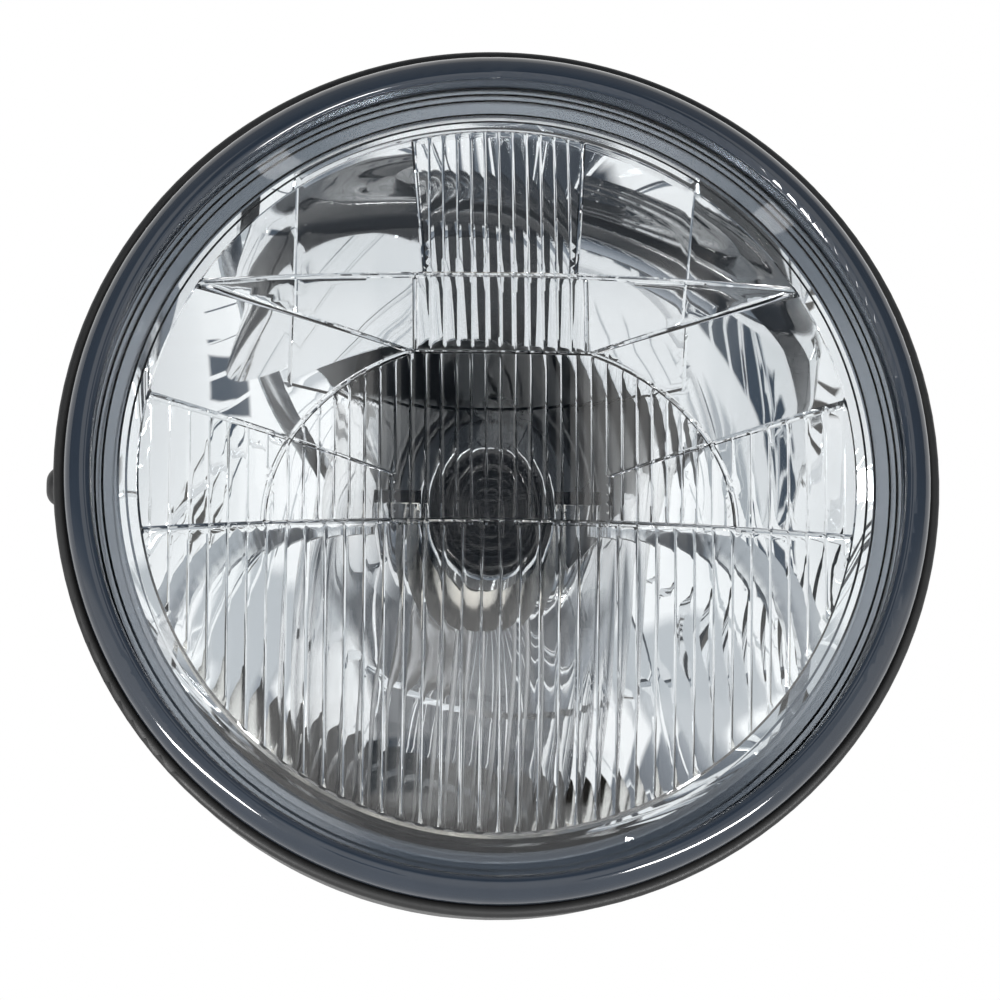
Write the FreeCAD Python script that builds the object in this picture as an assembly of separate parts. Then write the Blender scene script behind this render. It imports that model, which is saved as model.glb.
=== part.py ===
import FreeCAD
import Part
import math
import os

# Motorcycle headlight. The lamp faces -Y and +Z is up. Depths are measured
# backwards from the front plane of the shell's lip, and everything is moved
# at the end so that the row's origin lies on the axis of the side threads.

V = FreeCAD.Vector
MIRROR_NORMAL = V(1, 0, 0)

# Glass
LENS_RADIUS = 88.6
LENS_SEAT_WIDTH = 1.7
LENS_SEAT_DEPTH = 2.0
LENS_FLANGE_THICKNESS = 4.2
LENS_DOME_RADIUS = 240.0
LENS_THICKNESS = 4.5
LENS_RING_INSETS = (3.2, 4.8, 8.2, 10.0)
LENS_RING_STEP = 0.5
PATTERN_BORDER = 12.1

# Fields of the pressed pattern
DIVIDER_Z = -12.4
UPPER_LINE_Z = 42.0
ARCH_HALF_WIDTH = 50.0
ARCH_HEIGHT = 40.0
ARCH_TOP_Z = 24.6
COLUMN_NECK_HALF = 16.2
COLUMN_TOP_HALF = 18.6
COLUMN_LOW_HALF = 18.2
CHEVRON_END_X = 66.0
WING_OUTER = (76.0, 17.5)
WING_INNER = (45.0, 6.0)
ARCH_POCKET_X = 23.2
COARSE_PITCH = 4.1
FINE_PITCH = 3.2
COLUMN_PITCH = 3.0
FLUTE_SAG_SHARE = 0.085
COLUMN_RAISE = -0.4
COLUMN_FOOT_RAISE = 0.3
MIDDLE_RAISE = -0.3
POCKET_RAISE = -0.7
SIDE_RAISE = -0.5
UPPER_RAISE = 0.7
UPPER_TILT = 5.0
UNDER_RAISE = -0.6
UNDER_TILT_X = 4.0
UNDER_TILT_Z = 2.0
WING_RAISE = 0.6
WING_TILT = 5.0

# Rubber channel round the glass
SEAL_WALL = 1.0
SEAL_LIP = 0.8
SEAL_LIP_WIDTH = 2.2
SEAL_WEB = 1.5
SEAL_WEB_WIDTH = 1.4

# Rim
RIM_WALL = 1.0
SKIRT_CLEARANCE = 0.2
SKIRT_DEPTH = 22.0
SKIRT_LIP = 1.5
RIM_OVERHANG = 1.9
RIM_CREST_DEPTH = -6.2
RIM_OUTER_ROLL = 4.3
RIM_MOUTH_ROLL = 1.6
RIM_HEM = 0.7
RIM_FOOT_FLARE = 0.2

# Shell
SHELL_WALL = 1.2
SHELL_CLEARANCE = 1.5
LIP_BEAD_RADIUS = 1.35
SHELL_BACK_RADIUS = 26.0
SHELL_BACK_ROOM = 18.0

# Side mounting
MOUNT_DEPTH = 45.0
PAD_RADIUS = 11.0
PAD_THICKNESS = 2.4
PAD_INSET = 2.0
THREAD_RADIUS = 3.4
BOLT_HOLE_RADIUS = 4.2
WELD_NUT_RADIUS = 7.0
WELD_NUT_LENGTH = 9.0

# Rim screws and their nuts
RIM_SCREW_EDGE = 6.0
RIM_SCREW_RADIUS = 2.0
RIM_SCREW_HEAD_RADIUS = 4.1
RIM_SCREW_HEAD_HEIGHT = 3.3
RIM_SCREW_LENGTH = 9.0
RIM_SCREW_SOCKET = 1.4
RIM_NUT_WIDTH = 7.0
RIM_NUT_THICKNESS = 3.2
SCREW_HOLE_CLEARANCE = 0.3

# Retaining clips
CLIP_COUNT = 4
CLIP_THICKNESS = 0.8
CLIP_WIDTH = 4.0
CLIP_HALF_LENGTH = 16.0
CLIP_FOOT_X = 6.0
CLIP_FLAT = 3.0
CLIP_DIP = 5.0

# Cable entry
GROMMET_HOLE_RADIUS = 11.0
GROMMET_BORE_RADIUS = 5.0
GROMMET_FLANGE_RADIUS = 14.0
GROMMET_FLANGE = 2.4

# Reflector
REFLECTOR_WALL = 1.0
REFLECTOR_FLANGE_WIDTH = 8.6
FOCAL_LENGTH = 22.0
NECK_RADIUS = 19.0
BLOCK_HALF_WIDTH = 43.0
BLOCK_LOWER_Z = 31.0
BLOCK_STEP = 1.2

# Bulb seat and bulb
SEAT_THICKNESS = 3.4
SEAT_MARGIN = 5.5
FOCUS_TO_FLANGE = 29.0
BULB_FLANGE_RADIUS = 21.5
BULB_FLANGE_THICKNESS = 1.6
BULB_PILOT_LENGTH = 3.0
BULB_NECK_RADIUS = 10.0
BULB_NECK_LENGTH = 12.0
BULB_BARREL_RADIUS = 11.5
BULB_BARREL_LENGTH = 8.0
INSULATOR_RADIUS = 11.0
INSULATOR_THICKNESS = 6.0
BLADE_WIDTH = 8.0
BLADE_THICKNESS = 0.8
BLADE_LENGTH = 8.0
BLADE_OFFSET = 7.0
ENVELOPE_RADIUS = 8.4
ENVELOPE_WALL = 1.0
ENVELOPE_LENGTH = 48.0
LEAD_RADIUS = 0.45
LEAD_SPACING = 3.6
LEAD_BEND = 1.0
FILAMENT_RADIUS = 0.8
MAIN_FILAMENT_START = 23.0
MAIN_FILAMENT_LENGTH = 5.0
DIP_FILAMENT_START = 31.0
DIP_FILAMENT_LENGTH = 4.6
DIP_SHIELD_RADIUS = 2.6
DIP_SHIELD_WALL = 0.3
DIP_SHIELD_LENGTH = 6.0

# Bulb clip and its screws
SPRING_WIRE_RADIUS = 0.8
SPRING_ARM_Z = 13.2
SPRING_HINGE_INSET = 1.0
SPRING_HINGE_HALF = 8.0
SPRING_END_Z = 1.8
SPRING_LATCH_INSET = 2.2
SPRING_LATCH_HALF = 6.0
SPRING_BEND = 2.0
CLIP_SCREW_EDGE = 2.6
CLIP_SCREW_RADIUS = 1.2
CLIP_SCREW_HEAD_RADIUS = 2.4
CLIP_SCREW_HEAD_HEIGHT = 1.6
CLIP_PAD_HALF_WIDTH = 9.0
CLIP_PAD_GAP = 0.3

# Boot
BOOT_WALL = 2.0
BOOT_LIP_DEPTH = 9.0
BOOT_NECK_LENGTH = 4.0

# Shield in front of the bulb
SHIELD_GAP = 1.9
SHIELD_RADIUS = 15.0
SHIELD_LENGTH = 14.0
SHIELD_WALL = 0.8
SHIELD_STEP_RADIUS = 9.6
SHIELD_GROOVE_RADIUS = 8.4
SHIELD_BUTTON_RADIUS = 2.6
SHIELD_STEP = 1.0
LEG_WIDTH = 2.9
LEG_THICKNESS = 0.9
LEG_X = 24.0
LEG_Z = 4.0
LEG_SETBACK = 4.5
LEG_TAB_LENGTH = 7.0
LEG_TAIL = 2.5
RIVET_RADIUS = 1.0
RIVET_HEAD_RADIUS = 1.9
RIVET_HEAD_HEIGHT = 0.7
RIVET_SETBACK = 4.2

# Sizes that follow from those above
LENS_DOME_EDGE_RADIUS = LENS_RADIUS - LENS_SEAT_WIDTH
LENS_CENTRE_DEPTH = LENS_SEAT_DEPTH + math.sqrt(LENS_DOME_RADIUS ** 2 - LENS_DOME_EDGE_RADIUS ** 2)
LENS_APEX_DEPTH = LENS_CENTRE_DEPTH - LENS_DOME_RADIUS
LENS_BACK_DEPTH = LENS_SEAT_DEPTH + LENS_FLANGE_THICKNESS
PATTERN_RADIUS = LENS_RADIUS - PATTERN_BORDER
LEDGE_DEPTH = LENS_BACK_DEPTH - LENS_RING_STEP * len(LENS_RING_INSETS)
REFLECTOR_MOUTH_RADIUS = LENS_RADIUS - REFLECTOR_FLANGE_WIDTH
INNER_DOME_RADIUS = LENS_DOME_RADIUS - LENS_THICKNESS
SEAL_RADIUS = LENS_RADIUS + SEAL_WALL
SEAL_FRONT_DEPTH = LENS_SEAT_DEPTH - SEAL_LIP
REFLECTOR_FRONT_DEPTH = LENS_BACK_DEPTH + SEAL_WEB
REFLECTOR_BACK_DEPTH = REFLECTOR_FRONT_DEPTH + REFLECTOR_WALL
SKIRT_INNER_RADIUS = SEAL_RADIUS + SKIRT_CLEARANCE
RIM_SCREW_DEPTH = SKIRT_DEPTH - RIM_SCREW_EDGE
SKIRT_RADIUS = SKIRT_INNER_RADIUS + RIM_WALL
RIM_EDGE_RADIUS = SKIRT_RADIUS + RIM_OVERHANG
SHELL_INNER_RADIUS = SKIRT_RADIUS + SHELL_CLEARANCE
SHELL_RADIUS = SHELL_INNER_RADIUS + SHELL_WALL
VERTEX_DEPTH = REFLECTOR_FRONT_DEPTH + REFLECTOR_MOUTH_RADIUS ** 2 / (4 * FOCAL_LENGTH)
FLANGE_DEPTH = VERTEX_DEPTH - FOCAL_LENGTH + FOCUS_TO_FLANGE
SEAT_DEPTH = FLANGE_DEPTH - SEAT_THICKNESS
NECK_FLANGE_RADIUS = BULB_FLANGE_RADIUS + SEAT_MARGIN
CLIP_SCREW_X = NECK_FLANGE_RADIUS - CLIP_SCREW_EDGE
SPRING_HINGE_X = CLIP_SCREW_X - SPRING_HINGE_INSET
SPRING_LATCH_X = CLIP_SCREW_X - SPRING_LATCH_INSET
FLANGE_BACK_DEPTH = FLANGE_DEPTH + BULB_FLANGE_THICKNESS
BARREL_BACK_DEPTH = FLANGE_BACK_DEPTH + BULB_BARREL_LENGTH
INSULATOR_BACK_DEPTH = BARREL_BACK_DEPTH + INSULATOR_THICKNESS
BLADE_END_DEPTH = INSULATOR_BACK_DEPTH + BLADE_LENGTH
SHELL_DEPTH = BLADE_END_DEPTH + SHELL_BACK_ROOM
BEAD_CENTRE_RADIUS = SHELL_INNER_RADIUS + LIP_BEAD_RADIUS
BEAD_ROOT = LIP_BEAD_RADIUS + math.sqrt(LIP_BEAD_RADIUS ** 2 - (BEAD_CENTRE_RADIUS - SHELL_RADIUS) ** 2)
BOWL_REACH = (SHELL_DEPTH - BEAD_ROOT) / math.sqrt(1 - (SHELL_BACK_RADIUS / SHELL_RADIUS) ** 2)
PAD_FACE_X = SHELL_RADIUS - PAD_INSET
PAD_BACK_X = PAD_FACE_X - PAD_THICKNESS
ENVELOPE_TIP_DEPTH = FLANGE_DEPTH - ENVELOPE_LENGTH
ENVELOPE_FOOT_DEPTH = FLANGE_DEPTH - BULB_NECK_LENGTH
SHIELD_FRONT_DEPTH = ENVELOPE_TIP_DEPTH - SHIELD_GAP - 2 * SHIELD_STEP
LEG_BAR_DEPTH = SHIELD_FRONT_DEPTH + LEG_SETBACK


# Drawing helpers

def line(start, end):
    return Part.LineSegment(start, end).toShape()


def arc(start, middle, end):
    return Part.Arc(start, middle, end).toShape()


def section(start, *steps):
    """Closed outline of (radius, depth) points; a step of two points is an arc through the first."""
    here = V(start[0], start[1], 0)
    first = here
    edges = []
    for step in steps:
        if isinstance(step[0], tuple):
            middle = V(step[0][0], step[0][1], 0)
            there = V(step[1][0], step[1][1], 0)
            edges.append(arc(here, middle, there))
        else:
            there = V(step[0], step[1], 0)
            edges.append(line(here, there))
        here = there
    if here.distanceToPoint(first) > 1e-7:
        edges.append(line(here, first))
    return Part.Face(Part.Wire(edges))


def closed_face(edges):
    return Part.Face(Part.Wire(edges))


def turned(face):
    return face.revolve(V(0, 0, 0), V(0, 1, 0), 360)


def rod(radius, start, end):
    """Cylinder from one point to another."""
    return Part.makeCylinder(radius, start.distanceToPoint(end), start, end - start)


def ring(inner, outer, front, back):
    return turned(section((inner, front), (outer, front), (outer, back), (inner, back)))


def rounded_path(points, bend):
    """Open path through the points, with every inner corner bent to a radius."""
    edges = []
    here = points[0]
    for before, corner, after in zip(points, points[1:], points[2:]):
        back = (before - corner).normalize()
        ahead = (after - corner).normalize()
        half_angle = back.getAngle(ahead) / 2
        reach = bend / math.tan(half_angle)
        middle = corner + (back + ahead).normalize() * (bend / math.sin(half_angle) - bend)
        arc_start = corner + back * reach
        arc_end = corner + ahead * reach
        edges.append(line(here, arc_start))
        edges.append(arc(arc_start, middle, arc_end))
        here = arc_end
    edges.append(line(here, points[-1]))
    return Part.Wire(edges)


def bent_wire(points, bend, radius):
    profile = Part.Wire(Part.makeCircle(radius, points[0], points[1] - points[0]))
    return rounded_path(points, bend).makePipeShell([profile], True, True)


def mirrored(shape):
    return shape.mirror(V(0, 0, 0), MIRROR_NORMAL)


def both_sides(shape):
    """The shape and its mirror image, as separate solids."""
    return Part.makeCompound([shape, mirrored(shape)])


# Shell

def bowl_curve(thinner):
    """Half oval of the bowl from its root to its flat back, and both ends; thinner is taken off all over."""
    radius = SHELL_RADIUS - thinner
    reach = BOWL_REACH - thinner
    back = SHELL_DEPTH - thinner
    share = (back - BEAD_ROOT) / reach
    oval = Part.Ellipse(V(0, BEAD_ROOT + reach, 0), V(radius, BEAD_ROOT, 0), V(0, BEAD_ROOT, 0))
    curve = oval.toShape(math.acos(share), math.pi / 2)
    return curve, V(radius, BEAD_ROOT, 0), V(radius * math.sqrt(1 - share ** 2), back, 0)


def bowl_solid(thinner):
    """The bowl filled up, for cutting what sits on it or in it."""
    curve, root, back = bowl_curve(thinner)
    axis_root = V(0, BEAD_ROOT, 0)
    axis_back = V(0, back.y, 0)
    flat = line(back, axis_back)
    return turned(closed_face([curve, flat, line(axis_back, axis_root), line(axis_root, root)]))


def make_shell():
    """Bowl with a rolled lip, a hole at its back and a flat pressed boss on each side."""
    outer, outer_root, outer_back = bowl_curve(0)
    inner, inner_root, inner_back = bowl_curve(SHELL_WALL)
    turn = LIP_BEAD_RADIUS * math.sin(math.pi / 4)
    lip_inner = V(SHELL_INNER_RADIUS, LIP_BEAD_RADIUS, 0)
    lip_front = V(BEAD_CENTRE_RADIUS, 0, 0)
    lip_outer = V(BEAD_CENTRE_RADIUS + LIP_BEAD_RADIUS, LIP_BEAD_RADIUS, 0)
    lip_back = V(BEAD_CENTRE_RADIUS + turn, LIP_BEAD_RADIUS + turn, 0)
    hole_back = V(GROMMET_HOLE_RADIUS, outer_back.y, 0)
    hole_front = V(GROMMET_HOLE_RADIUS, inner_back.y, 0)
    bowl = turned(closed_face([
        arc(lip_inner, lip_front, lip_outer),
        arc(lip_outer, lip_back, outer_root),
        outer,
        line(outer_back, hole_back),
        line(hole_back, hole_front),
        line(hole_front, inner_back),
        inner,
        line(inner_root, lip_inner),
    ]))
    axis = V(0, MOUNT_DEPTH, 0)
    boss = rod(PAD_RADIUS, axis, V(PAD_FACE_X, MOUNT_DEPTH, 0)).cut(bowl_solid(SHELL_WALL))
    recess = rod(PAD_RADIUS - SHELL_WALL, axis, V(PAD_BACK_X, MOUNT_DEPTH, 0))
    bolt_holes = rod(BOLT_HOLE_RADIUS, V(-SHELL_RADIUS, MOUNT_DEPTH, 0), V(SHELL_RADIUS, MOUNT_DEPTH, 0))
    screw_hole = RIM_SCREW_RADIUS + SCREW_HOLE_CLEARANCE
    screw_holes = rod(screw_hole, V(-SHELL_RADIUS, RIM_SCREW_DEPTH, 0), V(SHELL_RADIUS, RIM_SCREW_DEPTH, 0))
    bossed = bowl.fuse([boss, mirrored(boss)]).cut(recess).cut(mirrored(recess))
    return bossed.cut(bolt_holes).cut(screw_holes)


def make_side_weld_nuts():
    end_x = PAD_BACK_X - WELD_NUT_LENGTH
    body = rod(WELD_NUT_RADIUS, V(end_x, MOUNT_DEPTH, 0), V(PAD_BACK_X, MOUNT_DEPTH, 0))
    thread = rod(THREAD_RADIUS, V(end_x, MOUNT_DEPTH, 0), V(PAD_BACK_X, MOUNT_DEPTH, 0))
    return both_sides(body.cut(thread))


def make_rear_grommet():
    wall_front = SHELL_DEPTH - SHELL_WALL
    inner_face = wall_front - GROMMET_FLANGE
    outer_face = SHELL_DEPTH + GROMMET_FLANGE
    flange_edge = GROMMET_FLANGE / 2
    return turned(section(
        (GROMMET_BORE_RADIUS, inner_face),
        (GROMMET_FLANGE_RADIUS - flange_edge, inner_face),
        (GROMMET_FLANGE_RADIUS, inner_face + flange_edge),
        (GROMMET_FLANGE_RADIUS, wall_front),
        (GROMMET_HOLE_RADIUS, wall_front),
        (GROMMET_HOLE_RADIUS, SHELL_DEPTH),
        (GROMMET_FLANGE_RADIUS, SHELL_DEPTH),
        (GROMMET_FLANGE_RADIUS, outer_face - flange_edge),
        (GROMMET_FLANGE_RADIUS - flange_edge, outer_face),
        (GROMMET_BORE_RADIUS, outer_face),
    ))


# Rim

def quarter(radius, depth, roll, outward):
    """Middle point of a quarter turn that starts or ends on the rim's crest line."""
    side = roll * math.sin(math.pi / 4)
    return radius + outward * side, depth - side


def make_rim():
    crest_radius = RIM_EDGE_RADIUS - RIM_OUTER_ROLL
    outer_depth = RIM_CREST_DEPTH + RIM_OUTER_ROLL
    mouth_radius = crest_radius - RIM_MOUTH_ROLL
    mouth_depth = RIM_CREST_DEPTH + RIM_MOUTH_ROLL
    foot_radius = mouth_radius + RIM_FOOT_FLARE
    inner_outer_roll = RIM_OUTER_ROLL - RIM_WALL
    inner_mouth_roll = RIM_MOUTH_ROLL - RIM_WALL
    hem_depth = outer_depth + RIM_HEM
    body = turned(section(
        (foot_radius, SEAL_FRONT_DEPTH),
        (mouth_radius, mouth_depth),
        (quarter(crest_radius, mouth_depth, RIM_MOUTH_ROLL, -1), (crest_radius, RIM_CREST_DEPTH)),
        (quarter(crest_radius, outer_depth, RIM_OUTER_ROLL, 1), (RIM_EDGE_RADIUS, outer_depth)),
        (RIM_EDGE_RADIUS, hem_depth),
        (SKIRT_RADIUS, hem_depth + RIM_WALL),
        (SKIRT_RADIUS, SKIRT_DEPTH),
        (SKIRT_INNER_RADIUS - SKIRT_LIP, SKIRT_DEPTH),
        (SKIRT_INNER_RADIUS - SKIRT_LIP, SKIRT_DEPTH - RIM_WALL),
        (SKIRT_INNER_RADIUS, SKIRT_DEPTH - RIM_WALL),
        (SKIRT_INNER_RADIUS, hem_depth + RIM_WALL),
        (crest_radius + inner_outer_roll, hem_depth),
        (crest_radius + inner_outer_roll, outer_depth),
        (quarter(crest_radius, outer_depth, inner_outer_roll, 1), (crest_radius, RIM_CREST_DEPTH + RIM_WALL)),
        (quarter(crest_radius, mouth_depth, inner_mouth_roll, -1),
         (crest_radius - inner_mouth_roll, mouth_depth)),
        (foot_radius + RIM_WALL, SEAL_FRONT_DEPTH),
    ))
    hole_radius = RIM_SCREW_RADIUS + SCREW_HOLE_CLEARANCE
    holes = rod(hole_radius, V(-SKIRT_RADIUS, RIM_SCREW_DEPTH, 0), V(SKIRT_RADIUS, RIM_SCREW_DEPTH, 0))
    return body.cut(holes)


def make_rim_screws():
    tip_x = SHELL_RADIUS - RIM_SCREW_LENGTH
    crown_x = SHELL_RADIUS + RIM_SCREW_HEAD_HEIGHT
    edge_x = SHELL_RADIUS + RIM_SCREW_HEAD_HEIGHT * 0.4
    dome_middle = (RIM_SCREW_HEAD_RADIUS * 0.72, SHELL_RADIUS + RIM_SCREW_HEAD_HEIGHT * 0.83)
    bolt = turned(section(
        (0, tip_x),
        (RIM_SCREW_RADIUS, tip_x),
        (RIM_SCREW_RADIUS, SHELL_RADIUS - SHELL_WALL),
        (RIM_SCREW_HEAD_RADIUS, SHELL_RADIUS - SHELL_WALL),
        (RIM_SCREW_HEAD_RADIUS, edge_x),
        (dome_middle, (RIM_SCREW_SOCKET, crown_x)),
        (RIM_SCREW_SOCKET, crown_x - RIM_SCREW_SOCKET),
        (0, crown_x - RIM_SCREW_SOCKET),
    ))
    bolt.rotate(V(0, 0, 0), V(0, 0, 1), -90)
    bolt.translate(V(0, RIM_SCREW_DEPTH, 0))
    shank = rod(RIM_SCREW_RADIUS, V(tip_x, RIM_SCREW_DEPTH, 0), V(SHELL_RADIUS, RIM_SCREW_DEPTH, 0))
    return both_sides(bolt.cut(bowl_solid(0)).fuse(shank).removeSplitter())


def make_rim_nuts():
    half = RIM_NUT_WIDTH / 2
    inner_x = SKIRT_INNER_RADIUS - RIM_NUT_THICKNESS
    block = Part.makeBox(RIM_NUT_THICKNESS, RIM_NUT_WIDTH, RIM_NUT_WIDTH,
                         V(inner_x, RIM_SCREW_DEPTH - half, -half))
    inside = rod(SKIRT_INNER_RADIUS, V(0, 0, 0), V(0, SKIRT_DEPTH, 0))
    thread = rod(RIM_SCREW_RADIUS, V(0, RIM_SCREW_DEPTH, 0), V(SHELL_RADIUS, RIM_SCREW_DEPTH, 0))
    return both_sides(block.common(inside).cut(thread))


def make_retaining_clips():
    """Bent spring strips between the reflector's flange and the lip of the skirt."""
    foot = REFLECTOR_BACK_DEPTH
    end = SKIRT_DEPTH - RIM_WALL
    outer_edge = math.sqrt(SKIRT_INNER_RADIUS ** 2 - CLIP_HALF_LENGTH ** 2)
    thick = CLIP_THICKNESS
    half = [
        (0, foot + CLIP_DIP),
        (CLIP_FOOT_X - CLIP_FLAT / 2, foot),
        (CLIP_FOOT_X + CLIP_FLAT / 2, foot),
        (CLIP_HALF_LENGTH - CLIP_FLAT, end - thick),
        (CLIP_HALF_LENGTH, end - thick),
        (CLIP_HALF_LENGTH, end),
        (CLIP_HALF_LENGTH - CLIP_FLAT - thick, end),
        (CLIP_FOOT_X + CLIP_FLAT / 2 - thick / 2, foot + thick),
        (CLIP_FOOT_X - CLIP_FLAT / 2 + thick / 2, foot + thick),
        (0, foot + CLIP_DIP + 2 * thick),
    ]
    strip = section(*half)
    clip = strip.fuse(mirrored(strip)).removeSplitter()
    clip.translate(V(0, 0, outer_edge - CLIP_WIDTH))
    clip = clip.Faces[0].extrude(V(0, 0, CLIP_WIDTH))
    clips = []
    for index in range(CLIP_COUNT):
        turn = 360.0 * (index + 0.5) / CLIP_COUNT
        clips.append(clip.copy().rotate(V(0, 0, 0), V(0, 1, 0), turn))
    return Part.makeCompound(clips)


# Glass and its pattern

def field(*points):
    """Flat face in the front plane, from (x, z) points."""
    corners = [V(x, 0, z) for x, z in points]
    return Part.Face(Part.makePolygon(corners + corners[:1]))


def arch_field():
    """Half ellipse over the divider, cut off straight at its top."""
    centre = V(0, 0, DIVIDER_Z)
    ellipse = Part.Ellipse(V(ARCH_HALF_WIDTH, 0, DIVIDER_Z), V(0, 0, DIVIDER_Z + ARCH_HEIGHT), centre)
    disc = Part.Face(Part.Wire(ellipse.toShape()))
    half = ARCH_HALF_WIDTH + 1
    return disc.common(field((-half, DIVIDER_Z), (half, DIVIDER_Z), (half, ARCH_TOP_Z), (-half, ARCH_TOP_Z)))


def wing_line(x):
    """Height of the wing's lower line at a distance from the middle."""
    slope = (WING_OUTER[1] - WING_INNER[1]) / (WING_OUTER[0] - WING_INNER[0])
    return WING_INNER[1] + slope * (x - WING_INNER[0])


def smooth_room(raise_depth, shift_x, shift_z):
    """Space behind a clear field: a ball whose centre may be shifted, which tilts the field."""
    centre = V(shift_x, LENS_CENTRE_DEPTH + raise_depth, shift_z)
    return Part.makeSphere(INNER_DOME_RADIUS, centre)


def fluted_room(pitch, raise_depth):
    """Space behind a fluted field: upright scoops that follow the dome."""
    centre_depth = LENS_CENTRE_DEPTH + raise_depth
    count = math.ceil(PATTERN_RADIUS / pitch) + 1
    sag = pitch * FLUTE_SAG_SHARE
    crests = []
    for index in range(-count, count + 1):
        x = index * pitch
        crests.append(V(x, centre_depth - math.sqrt(INNER_DOME_RADIUS ** 2 - x ** 2), 0))
    edges = []
    for left, right in zip(crests, crests[1:]):
        edges.append(arc(left, (left + right) * 0.5 - V(0, sag, 0), right))
    back = centre_depth - INNER_DOME_RADIUS / 2
    right_back = V(crests[-1].x, back, 0)
    left_back = V(crests[0].x, back, 0)
    edges.append(line(crests[-1], right_back))
    edges.append(line(right_back, left_back))
    edges.append(line(left_back, crests[0]))
    face = Part.Face(Part.Wire(edges))
    half_turn = math.degrees(math.asin(PATTERN_RADIUS / INNER_DOME_RADIUS)) + 2
    axis_point = V(0, centre_depth, 0)
    face.rotate(axis_point, V(1, 0, 0), -half_turn)
    return face.revolve(axis_point, V(1, 0, 0), 2 * half_turn)


def lens_fields():
    """Each field of the pattern with the space that is pressed out behind it."""
    edge = PATTERN_RADIUS + 1
    arch = arch_field()
    arch_corner = ARCH_HALF_WIDTH * math.sqrt(1 - ((ARCH_TOP_Z - DIVIDER_Z) / ARCH_HEIGHT) ** 2)
    lower = field((-edge, -edge), (edge, -edge), (edge, DIVIDER_Z), (-edge, DIVIDER_Z))
    column = field((-COLUMN_NECK_HALF, UPPER_LINE_Z), (COLUMN_NECK_HALF, UPPER_LINE_Z),
                   (COLUMN_TOP_HALF, edge), (-COLUMN_TOP_HALF, edge))
    column_foot = field((-COLUMN_LOW_HALF, ARCH_TOP_Z), (COLUMN_LOW_HALF, ARCH_TOP_Z),
                        (COLUMN_LOW_HALF, UPPER_LINE_Z), (-COLUMN_LOW_HALF, UPPER_LINE_Z))
    upper = field((COLUMN_NECK_HALF, UPPER_LINE_Z), (edge, UPPER_LINE_Z),
                  (edge, edge), (COLUMN_TOP_HALF, edge))
    under = field((COLUMN_LOW_HALF, ARCH_TOP_Z), (arch_corner, ARCH_TOP_Z), (CHEVRON_END_X, UPPER_LINE_Z),
                  (COLUMN_LOW_HALF, UPPER_LINE_Z))
    wing_edge = (edge, wing_line(edge))
    wing_root = (ARCH_POCKET_X, wing_line(ARCH_POCKET_X))
    wing = field((arch_corner, ARCH_TOP_Z), (CHEVRON_END_X, UPPER_LINE_Z), (edge, UPPER_LINE_Z),
                 wing_edge, wing_root).cut(arch)
    below_wing = field(wing_root, wing_edge, (edge, DIVIDER_Z), (ARCH_POCKET_X, DIVIDER_Z))
    side = below_wing.cut(arch)
    pocket = below_wing.common(arch)
    middle = arch.cut(pocket).cut(mirrored(pocket))
    return [
        (lower, fluted_room(COARSE_PITCH, 0)),
        (column, fluted_room(COLUMN_PITCH, COLUMN_RAISE)),
        (column_foot, fluted_room(COLUMN_PITCH, COLUMN_FOOT_RAISE)),
        (middle, fluted_room(FINE_PITCH, MIDDLE_RAISE)),
        (pocket, fluted_room(FINE_PITCH, POCKET_RAISE)),
        (mirrored(pocket), fluted_room(FINE_PITCH, POCKET_RAISE)),
        (side, fluted_room(COARSE_PITCH, SIDE_RAISE)),
        (mirrored(side), fluted_room(COARSE_PITCH, SIDE_RAISE)),
        (upper, smooth_room(UPPER_RAISE, 0, UPPER_TILT)),
        (mirrored(upper), smooth_room(UPPER_RAISE, 0, UPPER_TILT)),
        (under, smooth_room(UNDER_RAISE, -UNDER_TILT_X, -UNDER_TILT_Z)),
        (mirrored(under), smooth_room(UNDER_RAISE, UNDER_TILT_X, -UNDER_TILT_Z)),
        (wing, smooth_room(WING_RAISE, WING_TILT, 0)),
        (mirrored(wing), smooth_room(WING_RAISE, -WING_TILT, 0)),
    ]


def make_lens():
    """Dome with a stepped border at its back, and the fields of the pattern pressed out inside it."""
    half = LENS_DOME_EDGE_RADIUS / 2
    dome_middle = (half, LENS_CENTRE_DEPTH - math.sqrt(LENS_DOME_RADIUS ** 2 - half ** 2))
    back = []
    depth = LENS_BACK_DEPTH
    for inset in LENS_RING_INSETS:
        back.append((LENS_RADIUS - inset + LENS_RING_STEP, depth))
        depth -= LENS_RING_STEP
        back.append((LENS_RADIUS - inset, depth))
    blank = turned(section(
        (0, LENS_APEX_DEPTH),
        (dome_middle, (LENS_DOME_EDGE_RADIUS, LENS_SEAT_DEPTH)),
        (LENS_RADIUS, LENS_SEAT_DEPTH),
        (LENS_RADIUS, LENS_BACK_DEPTH),
        *back,
        (0, LEDGE_DEPTH),
    ))
    disc = Part.Face(Part.Wire(Part.makeCircle(PATTERN_RADIUS, V(0, 0, 0), V(0, 1, 0))))
    rooms = []
    for outline, room in lens_fields():
        prism = outline.common(disc)
        prism.translate(V(0, LENS_APEX_DEPTH, 0))
        rooms.append(prism.extrude(V(0, LENS_BACK_DEPTH - LENS_APEX_DEPTH, 0)).common(room))
    return blank.cut(rooms)


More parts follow.
